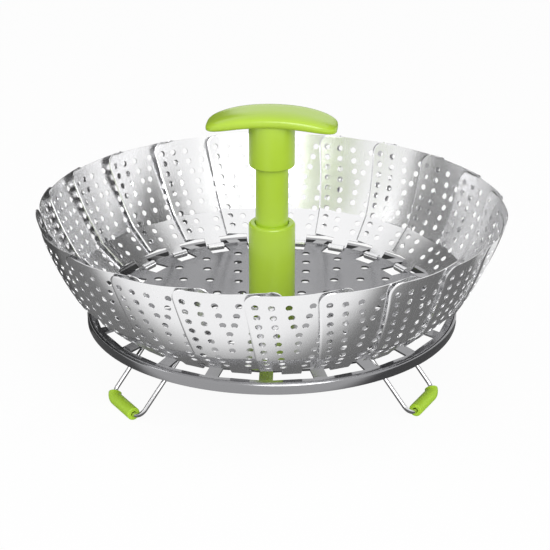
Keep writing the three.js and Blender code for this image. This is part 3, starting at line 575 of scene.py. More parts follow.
class Finish(Maker):
    """A procedural material with one Principled shader."""

    def __init__(self, name):
        material = bpy.data.materials.new(name)
        material.use_nodes = True
        super().__init__(material.node_tree)
        self.material = material
        self.shader = material.node_tree.nodes["Principled BSDF"]
        self.place = self.shade("TexCoord").outputs["Object"]

    def set(self, **inputs):
        for name, item in inputs.items():
            self.feed(self.shader.inputs[name.replace("_", " ").title()], item)

    def stretched(self, place, scale):
        return self.shade("Mapping", {"Vector": place, "Scale": scale})

    def noise(self, place, scale, detail=2.0, rough=0.5):
        inputs = {"Vector": place, "Scale": scale, "Detail": detail, "Roughness": rough}
        return self.value(self.shade("TexNoise", inputs), "Fac")

    def tint(self, part, first, second):
        inputs = {0: part, 6: (*first, 1), 7: (*second, 1)}
        return self.shade("Mix", inputs, data_type="RGBA").outputs[2]

    def bump(self, height, strength, distance):
        inputs = {"Strength": strength, "Distance": distance, "Height": height}
        self.set(normal=self.shade("Bump", inputs))

    def steel(self, tone, gloss, grain, haze, grain_share=0.1, haze_share=0.1):
        """Bare steel whose colour and gloss vary with a fine grain and a broad haze."""
        self.shader.inputs["Metallic"].default_value = 1.0
        dull = [shade * DULL_SHARE for shade in tone]
        self.set(base_color=self.tint(haze, dull, tone))
        fine = (grain - NOISE_MIDDLE) * grain_share
        self.set(roughness=fine + (haze - NOISE_MIDDLE) * haze_share + gloss)


def petal_finish(looks):
    """Satin sheet with a fine grain along the petal and a broad haze."""
    finish = Finish("petal_steel")
    flat = finish.shade("UVMap", uv_map=FLAT_UV).outputs[0]
    along_petal = finish.stretched(flat, (520, 14, 1))
    grain = finish.noise(along_petal, scale=1.0, detail=3.0, rough=0.6)
    haze = finish.noise(finish.place, scale=26.0, detail=3.0)
    finish.steel(looks.petal_steel, looks.petal_gloss, grain, haze)
    finish.bump(grain, strength=0.12, distance=0.00008)
    return finish.material


def tray_finish(looks):
    """Sheet with the fine circles of a turned finish, in a colour darkened as painted shade."""
    finish = Finish("tray_steel")
    axes = finish.shade("SeparateXYZ", {0: finish.place})
    around = finish.shade("Math", {0: axes.outputs[1], 1: axes.outputs[0]}, operation="ARCTAN2")
    level = finish.shade("CombineXYZ", {0: axes.outputs[0], 1: axes.outputs[1]})
    out = finish.shade("VectorMath", {0: level}, operation="LENGTH").outputs["Value"]
    polar = finish.shade("CombineXYZ", {0: out, 1: around, 2: axes.outputs[2]})
    in_circles = finish.stretched(polar, (2600, 5, 2600))
    grain = finish.noise(in_circles, scale=1.0, detail=3.0, rough=0.6)
    haze = finish.noise(finish.place, scale=22.0, detail=3.0)
    finish.steel(looks.tray_steel, looks.tray_gloss, grain, haze, grain_share=0.14, haze_share=0.08)
    finish.bump(grain, strength=0.14, distance=0.00008)
    return finish.material


def wire_finish(looks):
    """Bright drawn wire."""
    finish = Finish("wire_steel")
    grain = finish.noise(finish.place, scale=900.0)
    haze = finish.noise(finish.place, scale=60.0)
    finish.steel(looks.wire_steel, looks.wire_gloss, grain, haze, grain_share=0.05, haze_share=0.05)
    finish.bump(grain, strength=0.05, distance=0.00005)
    return finish.material


def fixing_finish(looks):
    """Pressed steel of the brackets, rivets, screw and washer, in the tray's colour darkened as painted
    shade.
    """
    finish = Finish("fixing_steel")
    grain = finish.noise(finish.place, scale=1400.0)
    haze = finish.noise(finish.place, scale=70.0, detail=3.0)
    finish.steel(looks.tray_steel, looks.tray_gloss, grain, haze, haze_share=0.16)
    finish.bump(grain, strength=0.08, distance=0.00006)
    return finish.material


def moulded_finish(name, tone, gloss, pits, depth, sheen=0.5):
    """Moulded plastic or rubber: a faint mottle in its colour and a fine skin of pits."""
    finish = Finish(name)
    skin = finish.noise(finish.place, scale=pits)
    mottle = finish.noise(finish.place, scale=40.0, detail=3.0)
    dark = [shade * DARK_SHARE for shade in tone]
    light = [min(shade * LIGHT_SHARE, 1.0) for shade in tone]
    finish.set(base_color=finish.tint(mottle, dark, light))
    fine = (skin - NOISE_MIDDLE) * SKIN_GLOSS
    finish.set(roughness=fine + (mottle - NOISE_MIDDLE) * MOTTLE_GLOSS + gloss)
    finish.bump(skin, strength=depth, distance=0.0001)
    finish.shader.inputs["Specular IOR Level"].default_value = sheen
    return finish.material


class PetalForm:
    """The middle of a petal's sheet, in its own frame."""

    def __init__(self, sizes):
        self.sizes = sizes
        self.curl = sizes.curl_radius + sizes.sheet / 2
        self.length = sizes.low_length + sizes.wall_length
        self.wall_radius = sizes.wall_length / (sizes.top_angle - sizes.wall_angle)

    def line(self, along):
        """The outward place and height of the middle line, and the sheet's lean there."""
        sizes = self.sizes
        if along < 0:
            turn = sizes.low_angle - math.pi / 2 + along / self.curl
            return self.curl * math.cos(turn), self.curl * math.sin(turn), sizes.low_angle
        straight = min(along, sizes.low_length)
        out = self.curl * math.sin(sizes.low_angle) + straight * math.cos(sizes.low_angle)
        height = straight * math.sin(sizes.low_angle) - self.curl * math.cos(sizes.low_angle)
        wall = sizes.wall_angle
        if along > sizes.low_length:
            wall += (along - sizes.low_length) / self.wall_radius
            out += self.wall_radius * (math.sin(wall) - math.sin(sizes.wall_angle))
            height += self.wall_radius * (math.cos(sizes.wall_angle) - math.cos(wall))
        past = (along - sizes.low_length) / sizes.crease
        return out, height, lerp(sizes.low_angle, wall, ease((past + 1) / 2))

    def part(self, along):
        """How far up the petal a place is, from 0 at its foot to 1 at its top edge."""
        return max(0.0, (along - self.sizes.tab_length) / (self.length - self.sizes.tab_length))

    def half(self, along):
        """Half of the petal's width."""
        sizes = self.sizes
        into = max(0.0, along - self.length + sizes.corner)
        cut = sizes.corner - math.sqrt(max(0.0, sizes.corner**2 - into**2))
        return lerp(sizes.low_width, sizes.top_width, self.part(along)) / 2 - cut

    def place(self, along, across):
        """A point of the sheet: bowed across, its +X side rolled out, its edges turned."""
        sizes = self.sizes
        settled = ease(along / sizes.tab_length)
        part = self.part(along)
        bow = settled * lerp(1 / sizes.low_bow, 1 / sizes.top_bow, part)
        roll = settled * lerp(sizes.low_roll, sizes.top_roll, part)
        out, height, lean = self.line(along)
        inwards = bow * across**2 / 2
        edge = max(0.0, abs(across) - self.half(along) + sizes.edge_reach) / sizes.edge_reach
        inwards += settled * math.copysign(sizes.edge_turn * edge**2, across)
        lift = inwards * math.cos(roll) - across * math.sin(roll)
        x = across * math.cos(roll) + inwards * math.sin(roll)
        return x, out - lift * math.sin(lean), height + lift * math.cos(lean)


def petal_sheet(sizes):
    """One petal as a sheet with no thickness, with its flat layout as its UV map."""
    form = PetalForm(sizes)
    tab = sizes.tab_width / sizes.low_width
    flat_part = 1 - EDGE_STRIPS * sizes.edge_reach / sizes.top_width
    outer = steps(tab, flat_part, SIDE_COLUMNS - EDGE_COLUMNS) + steps(flat_part, 1, EDGE_COLUMNS)
    columns = [-part for part in [1] + outer[:0:-1]] + steps(-tab, tab, TAB_COLUMNS) + outer + [1]
    on_tab = slice(SIDE_COLUMNS, SIDE_COLUMNS + TAB_COLUMNS + 1)
    curl_length = form.curl * sizes.curl_sweep
    tab_rows = steps(-curl_length, 0, CURL_ROWS) + steps(0, sizes.tab_length, TAB_ROWS)
    crease_low = sizes.low_length - sizes.crease
    crease_high = sizes.low_length + sizes.crease
    corner_start = form.length - sizes.corner
    rows = steps(sizes.tab_length, crease_low, LOW_ROWS)
    rows += steps(crease_low, crease_high, CREASE_ROWS)
    rows += steps(crease_high, corner_start, WALL_ROWS)
    turns = [math.pi / 2 * k / CORNER_ROWS for k in range(CORNER_ROWS + 1)]
    rows += [corner_start + sizes.corner * math.sin(turn) for turn in turns]
    mesh = bmesh.new()
    uv = mesh.loops.layers.uv.new(FLAT_UV)
    flat = {}

    def row_of(along, shares, half):
        made = []
        for part in shares:
            across = half * part
            vert = mesh.verts.new(form.place(along, across))
            flat[vert] = [
                start + step * FLAT_SCALE for start, step in zip(FLAT_CORNER, (across, along))
            ]
            made.append(vert)
        return made

    tab_half = sizes.tab_width / 2
    tab_shares = [part / tab for part in columns[on_tab]]
    grids = [[row_of(along, tab_shares, tab_half) for along in tab_rows]]
    grids.append([row_of(along, columns, form.half(along)) for along in rows])
    grids[0].append(grids[1][0][on_tab])
    for grid in grids:
        for low, high in zip(grid, grid[1:]):
            for k in range(len(low) - 1):
                face = mesh.faces.new((low[k], low[k + 1], high[k + 1], high[k]))
                for loop in face.loops:
                    loop[uv].uv = flat[loop.vert]
    return to_mesh("petal_sheet", mesh)


def thickness_tree():
    """A tree that gives a sheet its thickness, half to each side, and closes its edge."""
    tree = Tree("Sheet thickness", {"Geometry": "Geometry", "Thickness": "Length"})
    thick = tree.given("Thickness")
    normal = tree.geo("InputNormal").outputs[0]
    down = tree.shade("VectorMath", {0: normal, "Scale": thick * -0.5}, operation="SCALE")
    low = tree.geo("SetPosition", {"Geometry": tree.given("Geometry"), "Offset": down})
    raised = {"Mesh": low, "Offset Scale": thick, "Individual": False}
    up = tree.geo("ExtrudeMesh", raised)
    back = tree.geo("FlipFaces", {"Mesh": low})
    both = tree.geo("JoinGeometry", {0: [up, back]})
    merged = {"Geometry": both, "Distance": MERGE_DISTANCE}
    tree.end(tree.geo("MergeByDistance", merged))
    return tree.tree


def petal_tree(thickness):
    """A tree that lays rows of holes out flat, puts them on the petal's sheet and cuts them."""
    tree = Tree(
        "Petal perforations",
        {
            "Geometry": "Geometry",
            "Material": "Material",
            "Sheet": "Length",
            "Hole Diameter": "Length",
            "Hole Sides": "Count",
            "Rows": "Count",
            "Inner Rows": "Count",
            "Outer Start": "Place",
            "Outer Step": "Place",
            "Second Start": "Place",
            "Inner Start": "Place",
            "Inner Step": "Place",
            "Middle Start": "Place",
            "Middle Step": "Place",
        },
    )

    def column(rows, start, step):
        labels = {"Count": rows, "Start Location": start, "Offset": step}
        inputs = {key: tree.given(label) for key, label in labels.items()}
        return tree.geo("MeshLine", inputs)

    sheet = tree.given("Geometry")
    side = tree.geo(
        "JoinGeometry",
        {
            0: [
                column("Rows", "Outer Start", "Outer Step"),
                column("Rows", "Second Start", "Outer Step"),
                column("Inner Rows", "Inner Start", "Inner Step"),
            ]
        },
    )
    other = tree.geo("Transform", {"Geometry": side, "Scale": (-1, 1, 1)})
    middle = column("Inner Rows", "Middle Start", "Middle Step")
    layout = tree.geo("JoinGeometry", {0: [side, other, middle]})
    place = tree.geo("InputPosition").outputs[0]
    to_map = {0: place, 1: (FLAT_SCALE,) * 3, 2: (*FLAT_CORNER, 0)}
    in_map = tree.shade("VectorMath", to_map, operation="MULTIPLY_ADD")
    stored = tree.geo(
        "StoreNamedAttribute",
        {"Geometry": layout, "Name": "hole_place", "Value": in_map},
        data_type="FLOAT_VECTOR",
    )
    vector = {"data_type": "FLOAT_VECTOR"}
    hole = tree.geo("InputNamedAttribute", {"Name": "hole_place"}, **vector).outputs[0]
    sheet_map = tree.geo("InputNamedAttribute", {"Name": FLAT_UV}, **vector).outputs[0]

    def on_sheet(found):
        inputs = {"Mesh": sheet, "Value": found, "UV Map": sheet_map, "Sample UV": hole}
        return tree.geo("SampleUVSurface", inputs, **vector)

    normal = on_sheet(tree.geo("InputNormal").outputs[0])
    points = tree.geo("SetPosition", {"Geometry": stored, "Position": on_sheet(place)})
    drill = tree.geo(
        "MeshCylinder",
        {
            "Vertices": tree.given("Hole Sides"),
            "Radius": tree.given("Hole Diameter") * 0.5,
            "Depth": tree.given("Hole Diameter"),
        },
    )
    aim = tree.add("FunctionNodeAlignRotationToVector", {"Vector": normal}, axis="Z")
    copies = {"Points": points, "Instance": drill, "Rotation": aim}
    drills = tree.geo("InstanceOnPoints", copies)
    real = tree.geo("RealizeInstances", {"Geometry": drills})
    thick = {"Geometry": sheet, "Thickness": tree.given("Sheet")}
    solid = tree.geo("Group", thick, node_tree=thickness)
    cut = tree.geo("MeshBoolean", {"Mesh 1": solid, "Mesh 2": real}, solver="EXACT")
    tree.end_with_material(cut)
    return tree


def hole_layout(sizes, holes):
    """The flat places and steps of a petal's columns of holes."""
    form = PetalForm(sizes)
    first = form.length - holes.first_row
    taper = (sizes.top_width - sizes.low_width) / 2 / (form.length - sizes.tab_length)
    edge = lerp(sizes.low_width, sizes.top_width, form.part(first)) / 2 - holes.edge_gap
    return {
        "Rows": holes.rows,
        "Inner Rows": holes.inner_rows,
        "Outer Start": (edge, first, 0),
        "Outer Step": (-taper * holes.row_pitch, -holes.row_pitch, 0),
        "Second Start": (edge - holes.column_gap, first, 0),
        "Inner Start": (holes.inner_half, first, 0),
        "Inner Step": (-holes.inner_step, -holes.row_pitch, 0),
        "Middle Start": (0, first - holes.inner_rows * holes.row_pitch, 0),
        "Middle Step": (0, -holes.row_pitch, 0),
    }


class STEAMER_OT_petals(bpy.types.Operator):
    """Makes the perforated petals."""

    bl_idname = "steamer.petals"
    bl_label = "Make petals"

    def execute(self, context):
        sizes, holes = context.scene.steamer_petals, context.scene.steamer_holes
        finish = petal_finish(context.scene.steamer_finishes)
        tree = petal_tree(thickness_tree())
        values = hole_layout(sizes, holes)
        values.update({"Material": finish, "Sheet": sizes.sheet})
        values.update({"Hole Diameter": holes.diameter, "Hole Sides": holes.sides})
        pattern = tree.run("petal", petal_sheet(sizes), values)
        for petal in PETALS:
            mesh = pattern.copy()
            mesh.transform(hinge_place(petal))
            show(f"{petal}_sheet", mesh, finish, petal, "petal_steel", petal)
        return {"FINISHED"}


def tray_blank(sizes):
    """The tray before its openings: a raised middle, a step, a flat flange and a turned-down rim."""
    top = sizes.height + sizes.rise
    inner_window, outer_window = window_reach(sizes)
    step = inner_window + sizes.sheet / 2
    inside = sizes.radius - sizes.sheet
    inside_round = sizes.rim_round - sizes.sheet
    edge, soft = sizes.rim_edge, sizes.step_round
    outline = rounded(
        [
            (0, top - sizes.sheet, 0),
            (step, top - sizes.sheet, soft),
            (outer_window, sizes.height - sizes.sheet, soft),
            (inside, sizes.height - sizes.sheet, inside_round),
            (inside, sizes.height - sizes.rim_drop, edge),
            (sizes.radius, sizes.height - sizes.rim_drop, edge),
            (sizes.radius, sizes.height, sizes.rim_round),
            (outer_window, sizes.height, soft),
            (step, top, soft),
            (0, top, 0),
        ]
    )
    return to_mesh("tray_blank", lathe(outline, sizes.rim_sides))


def window_reach(sizes):
    """The inner and outer radius of the windows outside the hinge bars."""
    hinge = joint_spread(PETALS[0])[0]
    return hinge + sizes.hinge_bar / 2, sizes.radius - sizes.flange


def rivet_tree():
    """A tree that makes the points at which the rivets stand."""
    tree = Tree("Rivet places", {label: "Length" for label in RIVET_INPUTS})
    half, out = tree.given("Half Spacing"), tree.given("Pivot Radius")
    start = tree.shade("CombineXYZ", {0: half * -1.0, 1: out})
    end = tree.shade("CombineXYZ", {0: half, 1: out})
    ends = {"Count": 2, "Start Location": start, "Offset": end}
    pair = tree.geo("MeshLine", ends, mode="END_POINTS")
    legs = tree.geo("Points", {"Count": len(LEGS)})
    index = tree.value(tree.geo("InputIndex"))
    turned = index * (2 * math.pi / len(LEGS)) + tree.given("Rivet Turn")
    turn = tree.shade("CombineXYZ", {2: turned})
    spin = tree.add("FunctionNodeEulerToRotation", {0: turn})
    copies = {"Points": legs, "Instance": pair, "Rotation": spin}
    pairs = tree.geo("InstanceOnPoints", copies)
    tree.end(tree.geo("RealizeInstances", {"Geometry": pairs}))
    return tree.tree


def rivet_points(tree):
    """The points at which the rivets stand, in a tree that has the inputs for them."""
    inputs = {label: tree.given(label) for label in RIVET_INPUTS}
    return tree.geo("Group", inputs, node_tree=rivet_tree())


def rivet_values(legs):
    """What those inputs are given."""
    return dict(zip(RIVET_INPUTS, (joint_spread("leg_left")[0], legs.rivet_half, legs.turn)))


def tray_tree(thickness, ring_counts):
    """A tree that cuts the windows, the slots and the rings of steam holes out of the tray."""
    lengths = (
        "Turn", "Window Inner", "Window Outer", "Window Inner Width", "Window Outer Width", "Slot Inner",
        "Slot Outer", "Slot Width", "First Ring", "Ring Spacing", "Steam Diameter", "Rivet Room",
        "Cut Depth", "Cut Height", *RIVET_INPUTS,
    )
    inputs = {"Geometry": "Geometry", "Material": "Material", "Petals": "Count"}
    inputs.update({label: "Length" for label in lengths})
    tree = Tree("Tray openings", inputs)
    depth = tree.given("Cut Depth")
    place = tree.geo("InputPosition").outputs[0]
    aim = {"Vector": place}
    outwards = tree.add("FunctionNodeAlignRotationToVector", aim, axis="Y", pivot_axis="Z")

    def circle(number_of, radius, turn):
        spin = tree.shade("CombineXYZ", {2: turn})
        ring = tree.geo("MeshCircle", {"Vertices": number_of, "Radius": radius})
        lift = tree.shade("CombineXYZ", {2: tree.given("Cut Height")})
        inputs = {"Geometry": ring, "Rotation": spin, "Translation": lift}
        return tree.geo("Transform", inputs)

    def spokes(inner, outer, inner_width, outer_width):
        shape = tree.geo(
            "CurvePrimitiveQuadrilateral",
            {
                "Bottom Width": inner_width,
                "Top Width": outer_width,
                "Offset": 0.0,
                "Height": outer - inner,
            },
            mode="TRAPEZOID",
        )
        face = tree.geo("FillCurve", {"Curve": shape}, mode="NGONS")
        thick = {"Geometry": face, "Thickness": depth}
        tool = tree.geo("Group", thick, node_tree=thickness)
        ring = circle(tree.given("Petals"), (inner + outer) * 0.5, tree.given("Turn"))
        inputs = {"Points": ring, "Instance": tool, "Rotation": outwards}
        return tree.geo("InstanceOnPoints", inputs)

    window_widths = (tree.given("Window Inner Width"), tree.given("Window Outer Width"))
    windows = spokes(tree.given("Window Inner"), tree.given("Window Outer"), *window_widths)
    slot_width = tree.given("Slot Width")
    slots = spokes(tree.given("Slot Inner"), tree.given("Slot Outer"), slot_width, slot_width)
    rings = [
        circle(holes, tree.given("First Ring") - tree.given("Ring Spacing") * float(k), math.pi / 2)
        for k, holes in enumerate(ring_counts)
    ]
    all_rings = tree.geo("JoinGeometry", {0: rings})
    level = tree.shade("VectorMath", {0: place, 1: (1, 1, 0)}, operation="MULTIPLY")
    to_rivet = {0: rivet_points(tree), "Sample Position": level}
    nearest = tree.geo("Proximity", to_rivet, target_element="POINTS")
    near = tree.given("Rivet Room") > tree.value(nearest, "Distance")
    free = tree.geo("DeleteGeometry", {"Geometry": all_rings, "Selection": near})
    radius = tree.given("Steam Diameter") * 0.5
    steam_drill = {"Vertices": STEAM_HOLE_SIDES, "Radius": radius, "Depth": depth}
    drill = tree.geo("MeshCylinder", steam_drill)
    steam = tree.geo("InstanceOnPoints", {"Points": free, "Instance": drill})
    cuts = tree.geo("JoinGeometry", {0: [windows, slots, steam]})
    real = tree.geo("RealizeInstances", {"Geometry": cuts})
    meshes = {"Mesh 1": tree.given("Geometry"), "Mesh 2": real}
    cut = tree.geo("MeshBoolean", meshes, solver="EXACT")
    tree.end_with_material(cut)
    return tree


class STEAMER_OT_tray(bpy.types.Operator):
    """Makes the tray with its windows, slots and steam holes."""

    bl_idname = "steamer.tray"
    bl_label = "Make tray"

    def execute(self, context):
        sizes, legs = context.scene.steamer_tray, context.scene.steamer_legs
        petals = context.scene.steamer_petals
        finish = tray_finish(context.scene.steamer_finishes)
        hinge = joint_spread(PETALS[0])[0]
        window_inner, window_outer = window_reach(sizes)
        half_pitch = math.pi / len(PETALS)

        def window_width(radius):
            return 2 * radius * math.tan(half_pitch) - sizes.spoke / math.cos(half_pitch)

        slot_outer = hinge - sizes.hinge_bar / 2
        slot_inner = slot_outer - sizes.slot_length
        first_ring = slot_inner - sizes.steam_margin - sizes.steam_diameter / 2
        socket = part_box("post_socket")[1].x
        last_ring = socket + sizes.steam_margin + sizes.steam_diameter / 2
        rings = int((first_ring - last_ring) / sizes.ring_spacing) + 1
        radii = [first_ring - k * sizes.ring_spacing for k in range(rings)]
        ring_counts = [round(2 * math.pi * radius / sizes.steam_spacing) for radius in radii]
        first_petal = JOINTS[PETALS[0]]["pos_m"]
        tree = tray_tree(thickness_tree(), ring_counts)
        values = {
            "Material": finish,
            "Petals": len(PETALS),
            "Turn": math.atan2(first_petal[1], first_petal[0]),
            "Window Inner": window_inner,
            "Window Outer": window_outer,
            "Window Inner Width": window_width(window_inner),
            "Window Outer Width": window_width(window_outer),
            "Slot Inner": slot_inner,
            "Slot Outer": slot_outer,
            "Slot Width": petals.tab_width + 2 * sizes.slot_gap,
            "First Ring": first_ring,
            "Ring Spacing": sizes.ring_spacing,
            "Steam Diameter": sizes.steam_diameter,
            "Rivet Room": sizes.rivet_room,
            "Cut Depth": CUT_SHEETS * sizes.sheet,
            "Cut Height": sizes.height,
            **rivet_values(legs),
        }
        mesh = tree.run("tray", tray_blank(sizes), values)
        show("tray_sheet", mesh, finish, "base", "tray_steel", "base_tray")
        return {"FINISHED"}


def wire_tree():
    """A tree that bends a wire round the corners of a path."""
    inputs = {"Geometry": "Geometry", "Material": "Material", "Wire Radius": "Length"}
    tree = Tree("Bent wire", inputs)
    path = tree.geo("MeshToCurve", {0: tree.given("Geometry")})
    radius = tree.geo("InputNamedAttribute", {"Name": BEND_RADIUS}, data_type="FLOAT")
    bend = {"Curve": path, "Radius": radius, "Count": WIRE_BEND_STEPS}
    bent = tree.geo("FilletCurve", bend, mode="POLY")
    section = {"Resolution": WIRE_SIDES, "Radius": tree.given("Wire Radius")}
    ring = tree.geo("CurvePrimitiveCircle", section)
    drawn = {"Curve": bent, "Profile Curve": ring, "Fill Caps": True}
    tree.end_with_material(tree.geo("CurveToMesh", drawn))
    return tree


def wire_path(sizes, drop):
    """The corners of a leg's wire in the leg's own frame, as a mesh of edges."""
    half = [(sizes.pin_half, 0, 0), (sizes.pivot_half, 0, 0), (sizes.foot_half, sizes.spread, -drop)]
    corners = [(-x, y, z) for x, y, z in half] + half[::-1]
    mesh = bpy.data.meshes.new("wire_path")
    mesh.from_pydata(corners, [(k, k + 1) for k in range(len(corners) - 1)], [])
    bends = [0, sizes.pivot_bend, sizes.foot_bend]
    radii = mesh.attributes.new(BEND_RADIUS, "FLOAT", "POINT")
    radii.data.foreach_set("value", bends + bends[::-1])
    return mesh


def leg_sleeve(name, sizes, side, drop):
    """The soft sleeve in the leg's own frame, along the foot and pushed round the bend at one side."""
    start = sizes.foot_bend + sizes.sleeve_gap - sizes.foot_half
    reach = sizes.foot_half - sizes.foot_bend - start
    far = reach + sizes.foot_bend * sizes.sleeve_bend
    bore, radius, edge = sizes.sleeve_bore, sizes.sleeve_radius, sizes.sleeve_round
    corners = [(bore, 0, edge / 2), (radius, 0, edge), (radius, far, edge), (bore, far, edge / 2)]
    sleeve = to_mesh(name, lathe(divided(rounded(corners), edge), SLEEVE_SIDES))
    upward = Vector((0, -sizes.spread, drop)).normalized()
    across = Vector((1, 0, 0)).cross(upward)
    foot = Vector((0, sizes.spread, -drop))
    for vert in sleeve.vertices:
        beyond = max(vert.co.z - reach, 0.0) / sizes.foot_bend
        arm = sizes.foot_bend - vert.co.x
        along = start + min(vert.co.z, reach) + arm * math.sin(beyond)
        rise = sizes.foot_bend - arm * math.cos(beyond)
        vert.co = foot + Vector((along * side, 0, 0)) + upward * rise + across * (vert.co.y * side)
    return sleeve


class STEAMER_OT_legs(bpy.types.Operator):
    """Makes the wire legs and the soft sleeves on their feet."""

    bl_idname = "steamer.legs"
    bl_label = "Make legs"

    def execute(self, context):
        sizes = context.scene.steamer_legs
        looks = context.scene.steamer_finishes
        steel = wire_finish(looks)
        green = moulded_finish(
            "green_rubber", looks.sleeve_green, looks.sleeve_gloss, pits=1500.0, depth=0.12
        )
        tree = wire_tree()
        drop = joint_spread("leg_left")[1] - sizes.sleeve_radius
        for leg in LEGS:
            body = f"leg_{leg}"
            place = hinge_place(body, -1)
            values = {"Material": steel, "Wire Radius": sizes.wire / 2}
            wire = tree.run(f"leg_wire_{leg}", wire_path(sizes, drop), values)
            wire.transform(place)
            show(f"leg_{leg}_wire", wire, steel, body, "wire_steel", f"leg_wire_{leg}")
            sleeve = leg_sleeve(f"leg_sleeve_{leg}", sizes, PUSHED_SIDES[leg], drop)
            sleeve.transform(place)
            show(f"leg_{leg}_sleeve", sleeve, green, body, "green_rubber", f"leg_sleeve_{leg}")
        return {"FINISHED"}


class STEAMER_OT_fixings(bpy.types.Operator):
    """Makes the rivets and gives the brackets, the screw and the washer their finish."""

    bl_idname = "steamer.fixings"
    bl_label = "Make fixings"

    def execute(self, context):
        sizes = context.scene.steamer_legs
        finish = fixing_finish(context.scene.steamer_finishes)
        tail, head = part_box(RIVETS[0])
        foot = head.z - sizes.rivet_rise
        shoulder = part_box("leg_bracket_left")[1].z - sizes.rivet_seat
        tail_foot = sizes.rivet_tail * sizes.rivet_taper
        outline = [(0, tail.z), (tail_foot, tail.z), (sizes.rivet_tail, shoulder)]
        outline += [(sizes.rivet_shank, shoulder), (sizes.rivet_shank, foot)]
        for turn in steps(0, math.pi / 2, RIVET_DOME_STEPS):
            rise = sizes.rivet_rise * math.sin(turn)
            outline.append((sizes.rivet_radius * math.cos(turn), foot + rise))
        outline.append((0, head.z))
        rivet = to_mesh("rivet", lathe(outline, RIVET_SIDES))
        inputs = {"Geometry": "Geometry", "Material": "Material"}
        tree = Tree("Rivets", {**inputs, **{label: "Length" for label in RIVET_INPUTS}})
        spread = {"Points": rivet_points(tree), "Instance": tree.given("Geometry")}
        tree.end_with_material(tree.geo("InstanceOnPoints", spread))
        rivets = tree.run("rivets", rivet, {"Material": finish, **rivet_values(sizes)})
        show("bracket_rivets", rivets, finish, "base", "fixing_steel", *RIVETS)
        dress([f"leg_bracket_{leg}" for leg in LEGS] + ["socket_screw", "screw_washer"], finish)
        return {"FINISHED"}


def paddle_form(sizes, bottom):
    """The paddle of the T: a flat oval with a crowned top, bent down towards its ends."""
    outline = []
    for k in range(PADDLE_RINGS + 1):
        turn = math.pi * (k / PADDLE_RINGS - 0.5)
        out = 0.0 if k in (0, PADDLE_RINGS) else math.cos(turn) ** sizes.paddle_flatness
        rise = math.copysign(abs(math.sin(turn)) ** sizes.paddle_flatness, turn)
        crown = sizes.paddle_crown * (1 - out**2) if turn > 0 else 0.0
        outline.append((out, sizes.paddle_edge * (rise + 1) + crown))
    form = lathe([Vector(point) for point in outline], SHOWN_SIDES)
    for vert in form.verts:
        turn = math.atan2(vert.co.y, vert.co.x)
        sides = (abs(math.cos(turn)), abs(math.sin(turn)))
        corner = sum(side**sizes.paddle_fullness for side in sides)
        reach = corner ** (-1 / sizes.paddle_fullness)
        along, across = vert.co.x * reach, vert.co.y * reach
        height = bottom + vert.co.z - sizes.paddle_droop * along**2
        vert.co = (along * sizes.paddle_length, across * sizes.paddle_width, height)
    bmesh.ops.recalc_face_normals(form, faces=form.faces)
    return form


def joined(name, first, second):
    """One mesh that holds the union of two closed meshes."""
    pieces = []
    for mesh in (first, second):
        piece = bpy.data.objects.new(mesh.name, mesh)
        bpy.context.scene.collection.objects.link(piece)
        pieces.append(piece)
    union = pieces[0].modifiers.new("union", "BOOLEAN")
    union.operation = "UNION"
    union.solver = "EXACT"
    union.object = pieces[1]
    bpy.context.view_layer.update()
    evaluated = pieces[0].evaluated_get(bpy.context.evaluated_depsgraph_get())
    mesh = bpy.data.meshes.new_from_object(evaluated)
    for piece in pieces:
        bpy.data.objects.remove(piece)
    form = bmesh.new()
    form.from_mesh(mesh)
    bpy.data.meshes.remove(mesh)
    return to_mesh(name, form)


